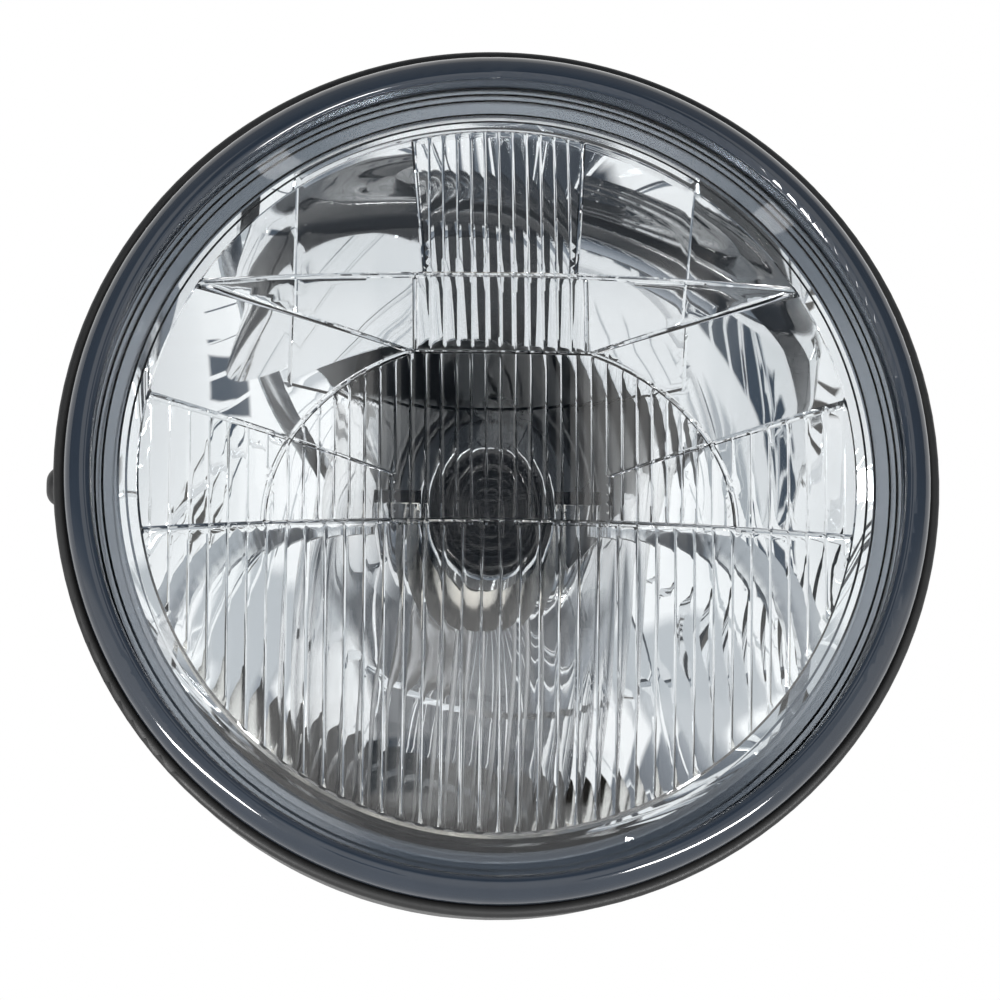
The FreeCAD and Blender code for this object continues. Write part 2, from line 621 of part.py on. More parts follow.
def make_lens_seal():
    lip_inner = SEAL_RADIUS - SEAL_LIP_WIDTH
    return turned(section(
        (lip_inner, SEAL_FRONT_DEPTH),
        (SEAL_RADIUS, SEAL_FRONT_DEPTH),
        (SEAL_RADIUS, REFLECTOR_BACK_DEPTH),
        (LENS_RADIUS, REFLECTOR_BACK_DEPTH),
        (LENS_RADIUS, REFLECTOR_FRONT_DEPTH),
        (LENS_RADIUS - SEAL_WEB_WIDTH, REFLECTOR_FRONT_DEPTH),
        (LENS_RADIUS - SEAL_WEB_WIDTH, LENS_BACK_DEPTH),
        (LENS_RADIUS, LENS_BACK_DEPTH),
        (LENS_RADIUS, LENS_SEAT_DEPTH),
        (lip_inner, LENS_SEAT_DEPTH),
    ))


# Reflector and shield

def parabola_depth(radius):
    return VERTEX_DEPTH - radius ** 2 / (4 * FOCAL_LENGTH)


def parabola_edge(from_radius, to_radius, shift):
    """Exact stretch of the reflector's parabola, moved along the axis."""
    start = V(from_radius, parabola_depth(from_radius) + shift, 0)
    end = V(to_radius, parabola_depth(to_radius) + shift, 0)
    slope = -from_radius / (2 * FOCAL_LENGTH)
    middle_radius = (from_radius + to_radius) / 2
    corner = V(middle_radius, start.y + slope * (middle_radius - from_radius), 0)
    curve = Part.BezierCurve()
    curve.setPoles([start, corner, end])
    return curve.toShape()


def make_reflector():
    back_shift = 2 * REFLECTOR_WALL
    mouth = REFLECTOR_MOUTH_RADIUS
    inner_neck = V(NECK_RADIUS, parabola_depth(NECK_RADIUS), 0)
    inner_mouth = V(mouth, REFLECTOR_FRONT_DEPTH, 0)
    neck_wall = NECK_RADIUS + REFLECTOR_WALL
    outer_mouth = math.sqrt((VERTEX_DEPTH + back_shift - REFLECTOR_BACK_DEPTH) * 4 * FOCAL_LENGTH)
    corners = [
        inner_mouth,
        V(LENS_RADIUS, REFLECTOR_FRONT_DEPTH, 0),
        V(LENS_RADIUS, REFLECTOR_BACK_DEPTH, 0),
        V(outer_mouth, REFLECTOR_BACK_DEPTH, 0),
    ]
    outer_curve = parabola_edge(outer_mouth, neck_wall, back_shift)
    neck_corners = [
        V(neck_wall, parabola_depth(neck_wall) + back_shift, 0),
        V(neck_wall, SEAT_DEPTH - REFLECTOR_WALL, 0),
        V(NECK_FLANGE_RADIUS, SEAT_DEPTH - REFLECTOR_WALL, 0),
        V(NECK_FLANGE_RADIUS, SEAT_DEPTH, 0),
        V(NECK_RADIUS, SEAT_DEPTH, 0),
        inner_neck,
    ]
    edges = [parabola_edge(NECK_RADIUS, mouth, 0)]
    edges += [line(a, b) for a, b in zip(corners, corners[1:])]
    edges.append(outer_curve)
    edges += [line(a, b) for a, b in zip(neck_corners, neck_corners[1:])]
    dish = turned(closed_face(edges))
    return dish.fuse(make_reflector_block()).removeSplitter().cut(leg_blank()).cut(mirrored(leg_blank()))


def make_reflector_block():
    """Stepped block at the upper centre of the mirror, one step in front of the paraboloid."""
    mouth = REFLECTOR_MOUTH_RADIUS - BLOCK_STEP
    low = BLOCK_LOWER_Z / 2
    front_mouth = V(mouth, parabola_depth(mouth) - BLOCK_STEP, 0)
    back_mouth = V(mouth, parabola_depth(mouth) + REFLECTOR_WALL / 2, 0)
    front_low = V(low, parabola_depth(low) - BLOCK_STEP, 0)
    back_low = V(low, parabola_depth(low) + REFLECTOR_WALL / 2, 0)
    layer = turned(closed_face([
        parabola_edge(low, mouth, -BLOCK_STEP),
        line(front_mouth, back_mouth),
        parabola_edge(mouth, low, REFLECTOR_WALL / 2),
        line(back_low, front_low),
    ]))
    tall = REFLECTOR_MOUTH_RADIUS
    window = Part.makeBox(2 * BLOCK_HALF_WIDTH, VERTEX_DEPTH, tall, V(-BLOCK_HALF_WIDTH, 0, BLOCK_LOWER_Z))
    return layer.common(window)


def leg_blank():
    """Bent strap from the cap's side out and back through the mirror, before it is fitted to the cap."""
    tail_depth = parabola_depth(math.hypot(LEG_X, LEG_Z)) + 2 * REFLECTOR_WALL + LEG_TAIL
    inner_x = SHIELD_RADIUS * 0.9
    face_x = SHIELD_RADIUS + LEG_THICKNESS
    front = LEG_BAR_DEPTH
    back = front + LEG_THICKNESS
    profile = section(
        (inner_x, front),
        (LEG_X + LEG_THICKNESS, front),
        (LEG_X + LEG_THICKNESS, tail_depth),
        (LEG_X, tail_depth),
        (LEG_X, back),
        (face_x, back),
        (face_x, front + LEG_TAB_LENGTH),
        (inner_x, front + LEG_TAB_LENGTH),
    )
    profile.translate(V(0, 0, LEG_Z - LEG_WIDTH / 2))
    return profile.extrude(V(0, 0, LEG_WIDTH))


def rivet_axis():
    """Start and end of the rivet's shank: inside the cap and on the strap's outer face."""
    depth = LEG_BAR_DEPTH + RIVET_SETBACK
    inner_x = math.sqrt((SHIELD_RADIUS - SHIELD_WALL) ** 2 - (LEG_Z + RIVET_HEAD_RADIUS) ** 2)
    return V(inner_x, depth, LEG_Z), V(SHIELD_RADIUS + LEG_THICKNESS, depth, LEG_Z)


def make_shield_legs():
    cap_room = rod(SHIELD_RADIUS, V(0, 0, 0), V(0, VERTEX_DEPTH, 0))
    inner, outer = rivet_axis()
    leg = leg_blank().cut(cap_room).cut(rod(RIVET_RADIUS, inner, outer))
    return both_sides(leg)


def make_bulb_shield():
    front = SHIELD_FRONT_DEPTH
    step = front + SHIELD_STEP
    edge = step + SHIELD_STEP
    back = front + SHIELD_LENGTH
    cap = turned(section(
        (0, front - SHIELD_STEP / 2),
        (SHIELD_BUTTON_RADIUS, front - SHIELD_STEP / 2),
        (SHIELD_BUTTON_RADIUS, front),
        (SHIELD_GROOVE_RADIUS, front),
        (SHIELD_GROOVE_RADIUS, step),
        (SHIELD_STEP_RADIUS, step),
        ((SHIELD_RADIUS - SHIELD_WALL, step + SHIELD_STEP / 2), (SHIELD_RADIUS, edge + SHIELD_STEP)),
        (SHIELD_RADIUS, back),
        (SHIELD_RADIUS - SHIELD_WALL, back),
        (SHIELD_RADIUS - SHIELD_WALL, edge + SHIELD_WALL),
        (SHIELD_STEP_RADIUS, edge),
        (0, edge),
    ))
    inner, outer = rivet_axis()
    hole = rod(RIVET_RADIUS, inner, outer)
    return cap.cut(hole).cut(mirrored(hole))


def make_shield_rivets():
    inner, outer = rivet_axis()
    head = V(RIVET_HEAD_HEIGHT, 0, 0)
    shank = rod(RIVET_RADIUS, inner - head, outer + head)
    outer_head = rod(RIVET_HEAD_RADIUS, outer, outer + head)
    inner_head = rod(RIVET_HEAD_RADIUS, inner - head, inner)
    return both_sides(shank.fuse([outer_head, inner_head]).removeSplitter())


# Bulb, its seat, clip and boot

def make_bulb_seat():
    """Ring on the reflector's neck with raised pads for the spring clip on both sides."""
    plate = ring(NECK_RADIUS, NECK_FLANGE_RADIUS, SEAT_DEPTH, FLANGE_DEPTH)
    pad_ring = ring(BULB_FLANGE_RADIUS + CLIP_PAD_GAP, NECK_FLANGE_RADIUS, FLANGE_DEPTH, FLANGE_BACK_DEPTH)
    pad_window = Part.makeBox(2 * NECK_FLANGE_RADIUS, BULB_FLANGE_THICKNESS, 2 * CLIP_PAD_HALF_WIDTH,
                              V(-NECK_FLANGE_RADIUS, FLANGE_DEPTH, -CLIP_PAD_HALF_WIDTH))
    hole = rod(CLIP_SCREW_RADIUS, V(CLIP_SCREW_X, SEAT_DEPTH, 0), V(CLIP_SCREW_X, FLANGE_BACK_DEPTH, 0))
    return plate.fuse(pad_ring.common(pad_window)).cut(hole).cut(mirrored(hole))


def make_clip_screws():
    top = FLANGE_BACK_DEPTH + 2 * SPRING_WIRE_RADIUS
    shank = rod(CLIP_SCREW_RADIUS, V(CLIP_SCREW_X, SEAT_DEPTH, 0), V(CLIP_SCREW_X, top, 0))
    head = rod(CLIP_SCREW_HEAD_RADIUS, V(CLIP_SCREW_X, top, 0),
               V(CLIP_SCREW_X, top + CLIP_SCREW_HEAD_HEIGHT, 0))
    return both_sides(shank.fuse(head))


def make_bulb_clip():
    depth = FLANGE_BACK_DEPTH + SPRING_WIRE_RADIUS
    shoulder = SPRING_ARM_Z - SPRING_LATCH_HALF
    half = [
        V(SPRING_HINGE_X, depth, SPRING_END_Z),
        V(SPRING_HINGE_X, depth, SPRING_HINGE_HALF),
        V(SPRING_HINGE_HALF, depth, SPRING_ARM_Z),
        V(shoulder - SPRING_LATCH_X, depth, SPRING_ARM_Z),
        V(-SPRING_LATCH_X, depth, SPRING_LATCH_HALF),
    ]
    other_half = [V(point.x, point.y, -point.z) for point in reversed(half)]
    return bent_wire(half + other_half, SPRING_BEND, SPRING_WIRE_RADIUS)


def make_bulb_base():
    pilot_depth = FLANGE_DEPTH - BULB_PILOT_LENGTH
    neck_front = ENVELOPE_FOOT_DEPTH
    pocket = ENVELOPE_FOOT_DEPTH + BULB_NECK_LENGTH / 2
    return turned(section(
        (0, pocket),
        (ENVELOPE_RADIUS, pocket),
        (ENVELOPE_RADIUS, neck_front),
        (BULB_NECK_RADIUS, neck_front),
        (BULB_NECK_RADIUS, pilot_depth),
        (NECK_RADIUS, pilot_depth),
        (NECK_RADIUS, FLANGE_DEPTH),
        (BULB_FLANGE_RADIUS, FLANGE_DEPTH),
        (BULB_FLANGE_RADIUS, FLANGE_BACK_DEPTH),
        (BULB_BARREL_RADIUS, FLANGE_BACK_DEPTH),
        (BULB_BARREL_RADIUS, BARREL_BACK_DEPTH),
        (0, BARREL_BACK_DEPTH),
    ))


def blade_places():
    """Middle of each blade and whether it stands upright."""
    return [(0, BLADE_OFFSET, False), (-BLADE_OFFSET, 0, True), (BLADE_OFFSET, 0, True)]


def make_bulb_terminals():
    front = INSULATOR_BACK_DEPTH - INSULATOR_THICKNESS / 2
    length = BLADE_END_DEPTH - front
    blades = []
    for x, z, upright in blade_places():
        wide = BLADE_THICKNESS if upright else BLADE_WIDTH
        tall = BLADE_WIDTH if upright else BLADE_THICKNESS
        blades.append(Part.makeBox(wide, length, tall, V(x - wide / 2, front, z - tall / 2)))
    return Part.makeCompound(blades)


def make_bulb_insulator():
    disc = rod(INSULATOR_RADIUS, V(0, BARREL_BACK_DEPTH, 0), V(0, INSULATOR_BACK_DEPTH, 0))
    return disc.cut(make_bulb_terminals())


def make_bulb_envelope():
    """Clear glass tube with a round tip, closed at its foot by the pinch."""
    foot = ENVELOPE_FOOT_DEPTH + BULB_NECK_LENGTH / 2
    tip = ENVELOPE_TIP_DEPTH
    inner = ENVELOPE_RADIUS - ENVELOPE_WALL
    outer_turn = ENVELOPE_RADIUS * math.sin(math.pi / 4)
    inner_turn = inner * math.sin(math.pi / 4)
    dome = tip + ENVELOPE_RADIUS
    pinch = foot - BULB_NECK_LENGTH / 4
    tube = turned(section(
        (0, tip),
        ((outer_turn, dome - outer_turn), (ENVELOPE_RADIUS, dome)),
        (ENVELOPE_RADIUS, foot),
        (0, foot),
        (0, pinch),
        (inner, pinch),
        (inner, dome),
        ((inner_turn, dome - inner_turn), (0, dome - inner)),
    ))
    return tube.cut(make_bulb_leads())


def bent_lead(x, reach):
    """Lead from the pinch, bent in to the axis at a reach in front of the flange."""
    foot = V(x, ENVELOPE_FOOT_DEPTH + BULB_NECK_LENGTH / 2, 0)
    corner = V(x, FLANGE_DEPTH - reach, 0)
    return bent_wire([foot, corner, V(0, corner.y, 0)], LEAD_BEND, LEAD_RADIUS)


def common_lead(reach, *bars):
    """Straight lower lead, with cross bars up to the axis at some reaches in front of the flange."""
    low = -DIP_SHIELD_RADIUS - LEAD_RADIUS
    foot = ENVELOPE_FOOT_DEPTH + BULB_NECK_LENGTH / 2
    body = rod(LEAD_RADIUS, V(0, foot, low), V(0, FLANGE_DEPTH - reach, low))
    arms = []
    for bar in bars:
        depth = FLANGE_DEPTH - bar
        arms.append(rod(LEAD_RADIUS, V(0, depth, low), V(0, depth, 0)))
    return body.fuse(arms).removeSplitter()


def make_bulb_leads():
    """Leads to both filaments; the lower one is common and carries the dip shield."""
    main_back = MAIN_FILAMENT_START - LEAD_RADIUS
    main_front = MAIN_FILAMENT_START + MAIN_FILAMENT_LENGTH + LEAD_RADIUS
    dip_back = DIP_FILAMENT_START - LEAD_RADIUS
    dip_front = DIP_FILAMENT_START + DIP_FILAMENT_LENGTH + LEAD_RADIUS
    return Part.makeCompound([
        bent_lead(-LEAD_SPACING, main_back),
        common_lead(DIP_FILAMENT_START + DIP_SHIELD_LENGTH, main_front, dip_back),
        bent_lead(LEAD_SPACING, dip_front),
    ])


def filament(start, length):
    """Tightly wound filament on the lamp's axis."""
    return rod(FILAMENT_RADIUS, V(0, FLANGE_DEPTH - start, 0), V(0, FLANGE_DEPTH - start - length, 0))


def make_main_filament():
    return filament(MAIN_FILAMENT_START, MAIN_FILAMENT_LENGTH)


def make_dip_filament():
    return filament(DIP_FILAMENT_START, DIP_FILAMENT_LENGTH)


def make_dip_shield():
    """Small trough under the dip filament, closed at its front, on the common lead."""
    back = FLANGE_DEPTH - DIP_FILAMENT_START
    front = back - DIP_SHIELD_LENGTH
    inner = DIP_SHIELD_RADIUS - DIP_SHIELD_WALL
    trough = turned(section(
        (FILAMENT_RADIUS, front),
        (DIP_SHIELD_RADIUS, front),
        (DIP_SHIELD_RADIUS, back),
        (inner, back),
        (inner, front + DIP_SHIELD_WALL),
        (FILAMENT_RADIUS, front + DIP_SHIELD_WALL),
    ))
    reach = 2 * DIP_SHIELD_RADIUS
    below = Part.makeBox(2 * reach, VERTEX_DEPTH, reach, V(-reach, 0, -FILAMENT_RADIUS - reach))
    return trough.common(below)


def make_bulb_boot():
    lip_inner = NECK_FLANGE_RADIUS
    lip_outer = lip_inner + BOOT_WALL
    lip_front = SEAT_DEPTH
    lip_back = lip_front + BOOT_LIP_DEPTH
    neck_back = INSULATOR_BACK_DEPTH + BOOT_WALL
    neck_front = neck_back - BOOT_NECK_LENGTH
    return turned(section(
        (lip_inner, lip_front),
        (lip_outer, lip_front),
        (lip_outer, lip_back + BOOT_WALL / 2),
        (INSULATOR_RADIUS + BOOT_WALL, neck_front + BOOT_WALL / 2),
        (INSULATOR_RADIUS + BOOT_WALL, neck_back),
        (INSULATOR_RADIUS, neck_back),
        (INSULATOR_RADIUS, neck_front),
        (lip_inner, lip_back),
    ))


PIECES = {
    "shell": make_shell,
    "side_weld_nuts": make_side_weld_nuts,
    "rear_grommet": make_rear_grommet,
    "rim": make_rim,
    "rim_screws": make_rim_screws,
    "rim_nuts": make_rim_nuts,
    "retaining_clips": make_retaining_clips,
    "lens": make_lens,
    "lens_seal": make_lens_seal,
    "reflector": make_reflector,
    "bulb_shield": make_bulb_shield,
    "shield_legs": make_shield_legs,
    "shield_rivets": make_shield_rivets,
    "bulb_seat": make_bulb_seat,
    "bulb_base": make_bulb_base,
    "bulb_insulator": make_bulb_insulator,
    "bulb_terminals": make_bulb_terminals,
    "bulb_envelope": make_bulb_envelope,
    "bulb_leads": make_bulb_leads,
    "main_filament": make_main_filament,
    "dip_filament": make_dip_filament,
    "dip_shield": make_dip_shield,
    "bulb_clip": make_bulb_clip,
    "clip_screws": make_clip_screws,
    "bulb_boot": make_bulb_boot,
}

os.makedirs("parts", exist_ok=True)
for name, make in PIECES.items():
    piece = make()
    piece.translate(V(0, -MOUNT_DEPTH, 0))
    piece.exportStep("parts/" + name + ".step")
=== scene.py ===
import math

import bmesh
import bpy
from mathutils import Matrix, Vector, geometry, kdtree


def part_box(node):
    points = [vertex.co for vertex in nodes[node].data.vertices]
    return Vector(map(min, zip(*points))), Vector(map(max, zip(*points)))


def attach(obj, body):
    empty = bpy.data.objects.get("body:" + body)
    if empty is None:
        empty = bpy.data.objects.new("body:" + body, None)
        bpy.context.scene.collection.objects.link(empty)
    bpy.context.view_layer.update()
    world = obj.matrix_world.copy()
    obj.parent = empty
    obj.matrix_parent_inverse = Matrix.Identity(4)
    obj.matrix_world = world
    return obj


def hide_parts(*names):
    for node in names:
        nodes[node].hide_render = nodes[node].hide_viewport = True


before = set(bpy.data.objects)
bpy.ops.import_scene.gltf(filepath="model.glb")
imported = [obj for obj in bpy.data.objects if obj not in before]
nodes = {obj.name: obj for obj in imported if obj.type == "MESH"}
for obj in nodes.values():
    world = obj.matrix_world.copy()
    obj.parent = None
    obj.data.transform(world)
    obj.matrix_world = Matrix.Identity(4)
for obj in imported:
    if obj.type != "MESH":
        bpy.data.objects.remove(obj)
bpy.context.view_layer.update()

# Places, in metres: the lamp faces -Y and its axis is the Y axis.
LIP_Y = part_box("shell")[0][1]
SHIELD_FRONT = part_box("bulb_shield")[0][1]
MM_PER_M = 1000

# Camera: below the lamp's axis and a little to its left.
CAMERA_AZIMUTH = math.radians(-3.2)
CAMERA_ELEVATION = math.radians(-12.6)
CAMERA_DISTANCE = 1.1
SENSOR_WIDTH = 36.0
VIEW_WIDTH = 0.2138
CENTRE_RIGHT = 0.0003
CENTRE_UP = -0.0052

# Floor: it fades out between two distances from its middle.
FLOOR_HEIGHT = -0.6
FLOOR_REACH = 0.9
FLOOR_FADE_START = 0.3 * FLOOR_REACH
FLOOR_FADE_END = 0.95 * FLOOR_REACH
FLOOR_GLOW = 0.8

# Each light, which points at the lamp: its place, its width and height, and its power in watts.
LIGHTS = {
    "low_left": ((-0.62, -0.60, -0.48), (0.5, 0.08), 9),
    "low_right": ((0.45, -0.67, -0.54), (0.4, 0.08), 7),
}

# Studio: its colours from straight down (0) to straight up (1).
WORLD_STOPS = (
    (0.0, (0.55, 0.57, 0.60)),
    (0.30, (1.2, 1.2, 1.2)),
    (0.46, (1.3, 1.3, 1.3)),
    (0.50, (0.62, 0.65, 0.68)),
    (0.53, (0.40, 0.43, 0.47)),
    (0.57, (0.20, 0.23, 0.27)),
    (0.62, (0.14, 0.165, 0.20)),
    (0.78, (0.18, 0.21, 0.25)),
    (1.0, (0.60, 0.64, 0.70)),
)

# Each panel of the studio: its middle and half size as x and z of the direction, and its colour.
SIDE_PANELS = (
    ((0.305, 0.31), (0.125, 0.25), (1.2, 1.2, 1.2)),
    ((0.36, -0.09), (0.17, 0.13), (0.68, 0.71, 0.74)),
)
DARK_PANELS = (
    ((-0.145, -0.36), (0.06, 0.05), (0.08, 0.105, 0.14)),
    ((0.225, -0.375), (0.05, 0.05), (0.13, 0.12, 0.11)),
    ((0.03, 0.24), (0.17, 0.25), (0.035, 0.045, 0.06)),
)
PANEL_SOFTNESS = 0.1

# Paint and plating
BLACK_PAINT = (0.012, 0.012, 0.013)
BRIGHT_PLATING = (0.80, 0.81, 0.82)
PLATING_GRAIN = 1500
NOISE_LOW, NOISE_HIGH = 0.3, 0.7
STRAP_FACE_NORMAL = -0.5
SHIELD_PAINT_RADIUS = 0.0143
SHIELD_PAINT_EDGE = 0.0001
SHIELD_PAINT_DEPTH = 0.0045
SHIELD_STRIP_LEAN = 0.16
SHIELD_STRIP_SLOPE = 0.085
SHIELD_HOLLOW_ROUGHNESS = 0.35
SHIELD_TURN_PITCH = 0.0024
FLANGE_COLOUR = (0.22, 0.245, 0.28)
FLANGE_ROUGHNESS = 0.16
GLASS_IOR = 1.52

# Sizes of the glass, in mm; depths are behind the front plane of the shell's lip.
DOME_RADIUS = 240.0
INNER_RADIUS = 235.5
DOME_CENTRE = 225.715
DOME_EDGE_RADIUS = 86.9
DOME_RINGS = 24
LENS_RADIUS = 88.6
LENS_SEAT = 2.0
LENS_BACK = 6.2
LENS_SEGMENTS = 480
LENS_SHARP = math.radians(15)
RING_STEP = 0.5
RING_RADII = (85.4, 83.8, 80.4, 78.6)
LEDGE_DEPTH = LENS_BACK - RING_STEP * len(RING_RADII)
PATTERN_RADIUS = 76.5

# Lines between the fields of the pressed pattern
DIVIDER_Z = -12.4
UPPER_LINE_Z = 42.0
ARCH_HALF_WIDTH = 50.0
ARCH_HEIGHT = 40.0
ARCH_TOP_Z = 24.6
ARCH_CORNER = ARCH_HALF_WIDTH * math.sqrt(1 - ((ARCH_TOP_Z - DIVIDER_Z) / ARCH_HEIGHT) ** 2)
COLUMN_NECK_HALF = 16.2
COLUMN_TOP_HALF = 18.6
COLUMN_TOP_Z = 77.5
COLUMN_LOW_HALF = 18.2
CHEVRON_END_X = 66.0
WING_SLOPE = 11.5 / 31.0
WING_POINT = (45.0, 6.0)
POCKET_X = 23.2

# Flutes, and the ribs along the lines; a pair of widths is for a rib's two ends.
COARSE_PITCH = 4.1
FINE_PITCH = 3.2
COLUMN_PITCH = 3.0
FLUTE_SAG_SHARE = 0.022
RIDGE_HALF = 0.3
RIDGE_HEIGHT = 0.07
RIB_WIDTH = 1.3
RIB_HEIGHT = 0.26
PLAIN_RIB = (RIB_WIDTH, RIB_WIDTH)
SLIM_RIB = (0.8 * RIB_WIDTH, 0.8 * RIB_WIDTH)
CHEVRON_RIB = (0.9, 2.2)
WING_RIB = (0.7, 1.8)

# Each field: its flute pitch (0 where clear), how far its face is moved back,
# and how far the centre of its ball is moved in x and z.
FIELDS = {
    "lower": (COARSE_PITCH, 0.0, 0, 0),
    "column": (COLUMN_PITCH, -0.4, 0, 0),
    "column_foot": (COLUMN_PITCH, 0.3, 0, 0),
    "middle": (FINE_PITCH, -0.3, 0, 0),
    "pocket": (FINE_PITCH, -0.7, 0, 0),
    "side": (COARSE_PITCH, -0.5, 0, 0),
    "upper": (0, 0.7, 0, 5),
    "under": (0, -0.6, -4, -2),
    "wing": (0, 0.6, 5, 0),
}

# How closely the points of the glass stand, and how far they keep from ribs and from the pattern's edge
FLUTE_STOPS = (0, 0.15, 0.3, 0.6, 1.0)
RIB_STOPS = (-1.0, -0.6, 0.0, 0.6, 1.0)
ROW_SPACING = 2.0
SMOOTH_SPACING = 1.6
RIB_SPACING = 0.4
CURVE_TO_CHORD = 1.3
FEWEST_CUTS = 4
STEP_WIDTH = 0.32
RIB_SPARE = 0.05
FIELD_SPARE = 0.22
RIB_TO_EDGE = 0.1
FIELD_TO_EDGE = 0.25
RIB_SEARCH = 1.3
SIDE_PROBE = 0.02
TANGENT_STEP = 1e-3
ROUNDING = 1e-9
MERGE_DISTANCE = 1e-6

# Sizes of the reflector, in mm
FOCAL_LENGTH = 22.0
MOUTH_RADIUS = 80.0
MOUTH_DEPTH = 7.7
MIRROR_WALL = 1.0
NECK_RADIUS = 19.0
NECK_FLANGE_RADIUS = 27.0
SEAT_DEPTH = 84.03
VERTEX_DEPTH = MOUTH_DEPTH + MOUTH_RADIUS ** 2 / (4 * FOCAL_LENGTH)
BLOCK_HALF = 43.0
BLOCK_LOW = 31.0
BLOCK_STEP = 1.2
BLOCK_CLEAR = 0.8
BLOCK_CORNER = 1.0
BLOCK_TOP_GAP = 0.5
BLOCK_SIDE_CUTS = 61
BLOCK_FOOT_CUTS = 70
MIRROR_SEGMENTS = 300
MIRROR_RINGS = 48
MIRROR_BACK_RINGS = 24
MIRROR_SHARP = math.radians(25)


# Node helpers: each adds nodes to a tree and gives back the socket of the result.

def feed(tree, socket, value):
    """Link a socket to another one, or set it to a number or colour."""
    if isinstance(value, bpy.types.NodeSocket):
        tree.links.new(value, socket)
    elif isinstance(value, tuple):
        socket.default_value = (*value, 1)
    else:
        socket.default_value = value


def calculate(tree, operation, *values, clamp=False):
    node = tree.nodes.new("ShaderNodeMath")
    node.operation = operation
    node.use_clamp = clamp
    for socket, value in zip(node.inputs, values):
        feed(tree, socket, value)
    return node.outputs["Value"]


def map_range(tree, value, start, end, low=0.0, high=1.0, interpolation="LINEAR"):
    """Number from low to high while a value goes from start to end."""
    node = tree.nodes.new("ShaderNodeMapRange")
    node.interpolation_type = interpolation
    node.inputs["From Min"].default_value = start
    node.inputs["From Max"].default_value = end
    node.inputs["To Min"].default_value = low
    node.inputs["To Max"].default_value = high
    tree.links.new(value, node.inputs["Value"])
    return node.outputs["Result"]


def mix_colours(tree, factor, first, second):
    mix = tree.nodes.new("ShaderNodeMix")
    mix.data_type = "RGBA"
    feed(tree, mix.inputs["Factor"], factor)
    feed(tree, mix.inputs[6], first)
    feed(tree, mix.inputs[7], second)
    return mix.outputs[2]


def mix_shaders(tree, factor, first, second):
    mix = tree.nodes.new("ShaderNodeMixShader")
    tree.links.new(factor, mix.inputs["Fac"])
    tree.links.new(first, mix.inputs[1])
    tree.links.new(second, mix.inputs[2])
    return mix.outputs["Shader"]


def seen_by(tree, *rays):
    """1 for the named kinds of ray and 0 for others."""
    path = tree.nodes.new("ShaderNodeLightPath")
    seen = path.outputs[rays[0]]
    for ray in rays[1:]:
        seen = calculate(tree, "MAXIMUM", seen, path.outputs[ray])
    return seen


def object_place(tree):
    return tree.nodes.new("ShaderNodeTexCoord").outputs["Object"]


def parts_of(tree, vector):
    """A vector's parts, by the names X, Y and Z."""
    split = tree.nodes.new("ShaderNodeSeparateXYZ")
    tree.links.new(vector, split.inputs["Vector"])
    return split.outputs


def vector_length(tree, vector):
    node = tree.nodes.new("ShaderNodeVectorMath")
    node.operation = "LENGTH"
    tree.links.new(vector, node.inputs[0])
    return node.outputs["Value"]


def axis_distance(tree):
    """Distance from the lamp's axis."""
    flatten = tree.nodes.new("ShaderNodeVectorMath")
    flatten.operation = "MULTIPLY"
    flatten.inputs[1].default_value = (1, 0, 1)
    tree.links.new(object_place(tree), flatten.inputs[0])
    return vector_length(tree, flatten.outputs["Vector"])


def noise(tree, scale, detail=3.0):
    """Noise in object space; the lamp's size is about 0.2 m, so scales are large."""
    texture = tree.nodes.new("ShaderNodeTexNoise")
    texture.inputs["Scale"].default_value = scale
    texture.inputs["Detail"].default_value = detail
    tree.links.new(object_place(tree), texture.inputs["Vector"])
    return texture.outputs["Fac"]


def level(tree, factor, low, high):
    """Number between two values, driven by noise."""
    return map_range(tree, factor, NOISE_LOW, NOISE_HIGH, low, high)


def add_bump(tree, shader, height, strength, distance):
    node = tree.nodes.new("ShaderNodeBump")
    node.inputs["Strength"].default_value = strength
    node.inputs["Distance"].default_value = distance
    tree.links.new(height, node.inputs["Height"])
    tree.links.new(node.outputs["Normal"], shader.inputs["Normal"])


# Materials

def new_material(name):
    material = bpy.data.materials.new(name)
    material.use_nodes = True
    tree = material.node_tree
    return material, tree, tree.nodes["Principled BSDF"]


def varied(name, colours, roughness, grain, relief, depth=0.0002, metallic=0.0):
    """Opaque finish: colour and roughness vary between two values, and the surface by a little relief."""
    material, tree, shader = new_material(name)
    broad = noise(tree, grain / 6)
    fine = noise(tree, grain)
    feed(tree, shader.inputs["Base Color"], mix_colours(tree, broad, *colours))
    feed(tree, shader.inputs["Roughness"], level(tree, fine, *roughness))
    feed(tree, shader.inputs["Metallic"], metallic)
    add_bump(tree, shader, fine, relief, depth)
    return material, tree, shader


def gloss_black():
    material, _, shader = varied(
        "gloss_black_paint", colours=((0.012, 0.017, 0.025), (0.016, 0.022, 0.032)),
        roughness=(0.10, 0.16), grain=900, relief=0.05)
    shader.inputs["Specular IOR Level"].default_value = 0.1
    shader.inputs["Coat Weight"].default_value = 1.0
    shader.inputs["Coat Roughness"].default_value = 0.03
    return material


def satin_black():
    material, _, shader = varied(
        "satin_black_paint", colours=((0.012, 0.012, 0.012), (0.018, 0.018, 0.018)),
        roughness=(0.38, 0.5), grain=2500, relief=0.12)
    shader.inputs["Specular IOR Level"].default_value = 0.3
    return material


def black_rubber():
    return varied("rubber", colours=((0.016, 0.016, 0.016), (0.026, 0.026, 0.026)),
                  roughness=(0.6, 0.8), grain=1800, relief=0.25, depth=0.0003)[0]


def ceramic():
    return varied("insulator", colours=((0.60, 0.55, 0.45), (0.72, 0.68, 0.58)),
                  roughness=(0.5, 0.7), grain=900, relief=0.2, depth=0.0003)[0]


def plated_steel(name, *colours):
    return varied(name, colours, roughness=(0.28, 0.42), grain=1200, relief=0.08, metallic=1.0)[0]


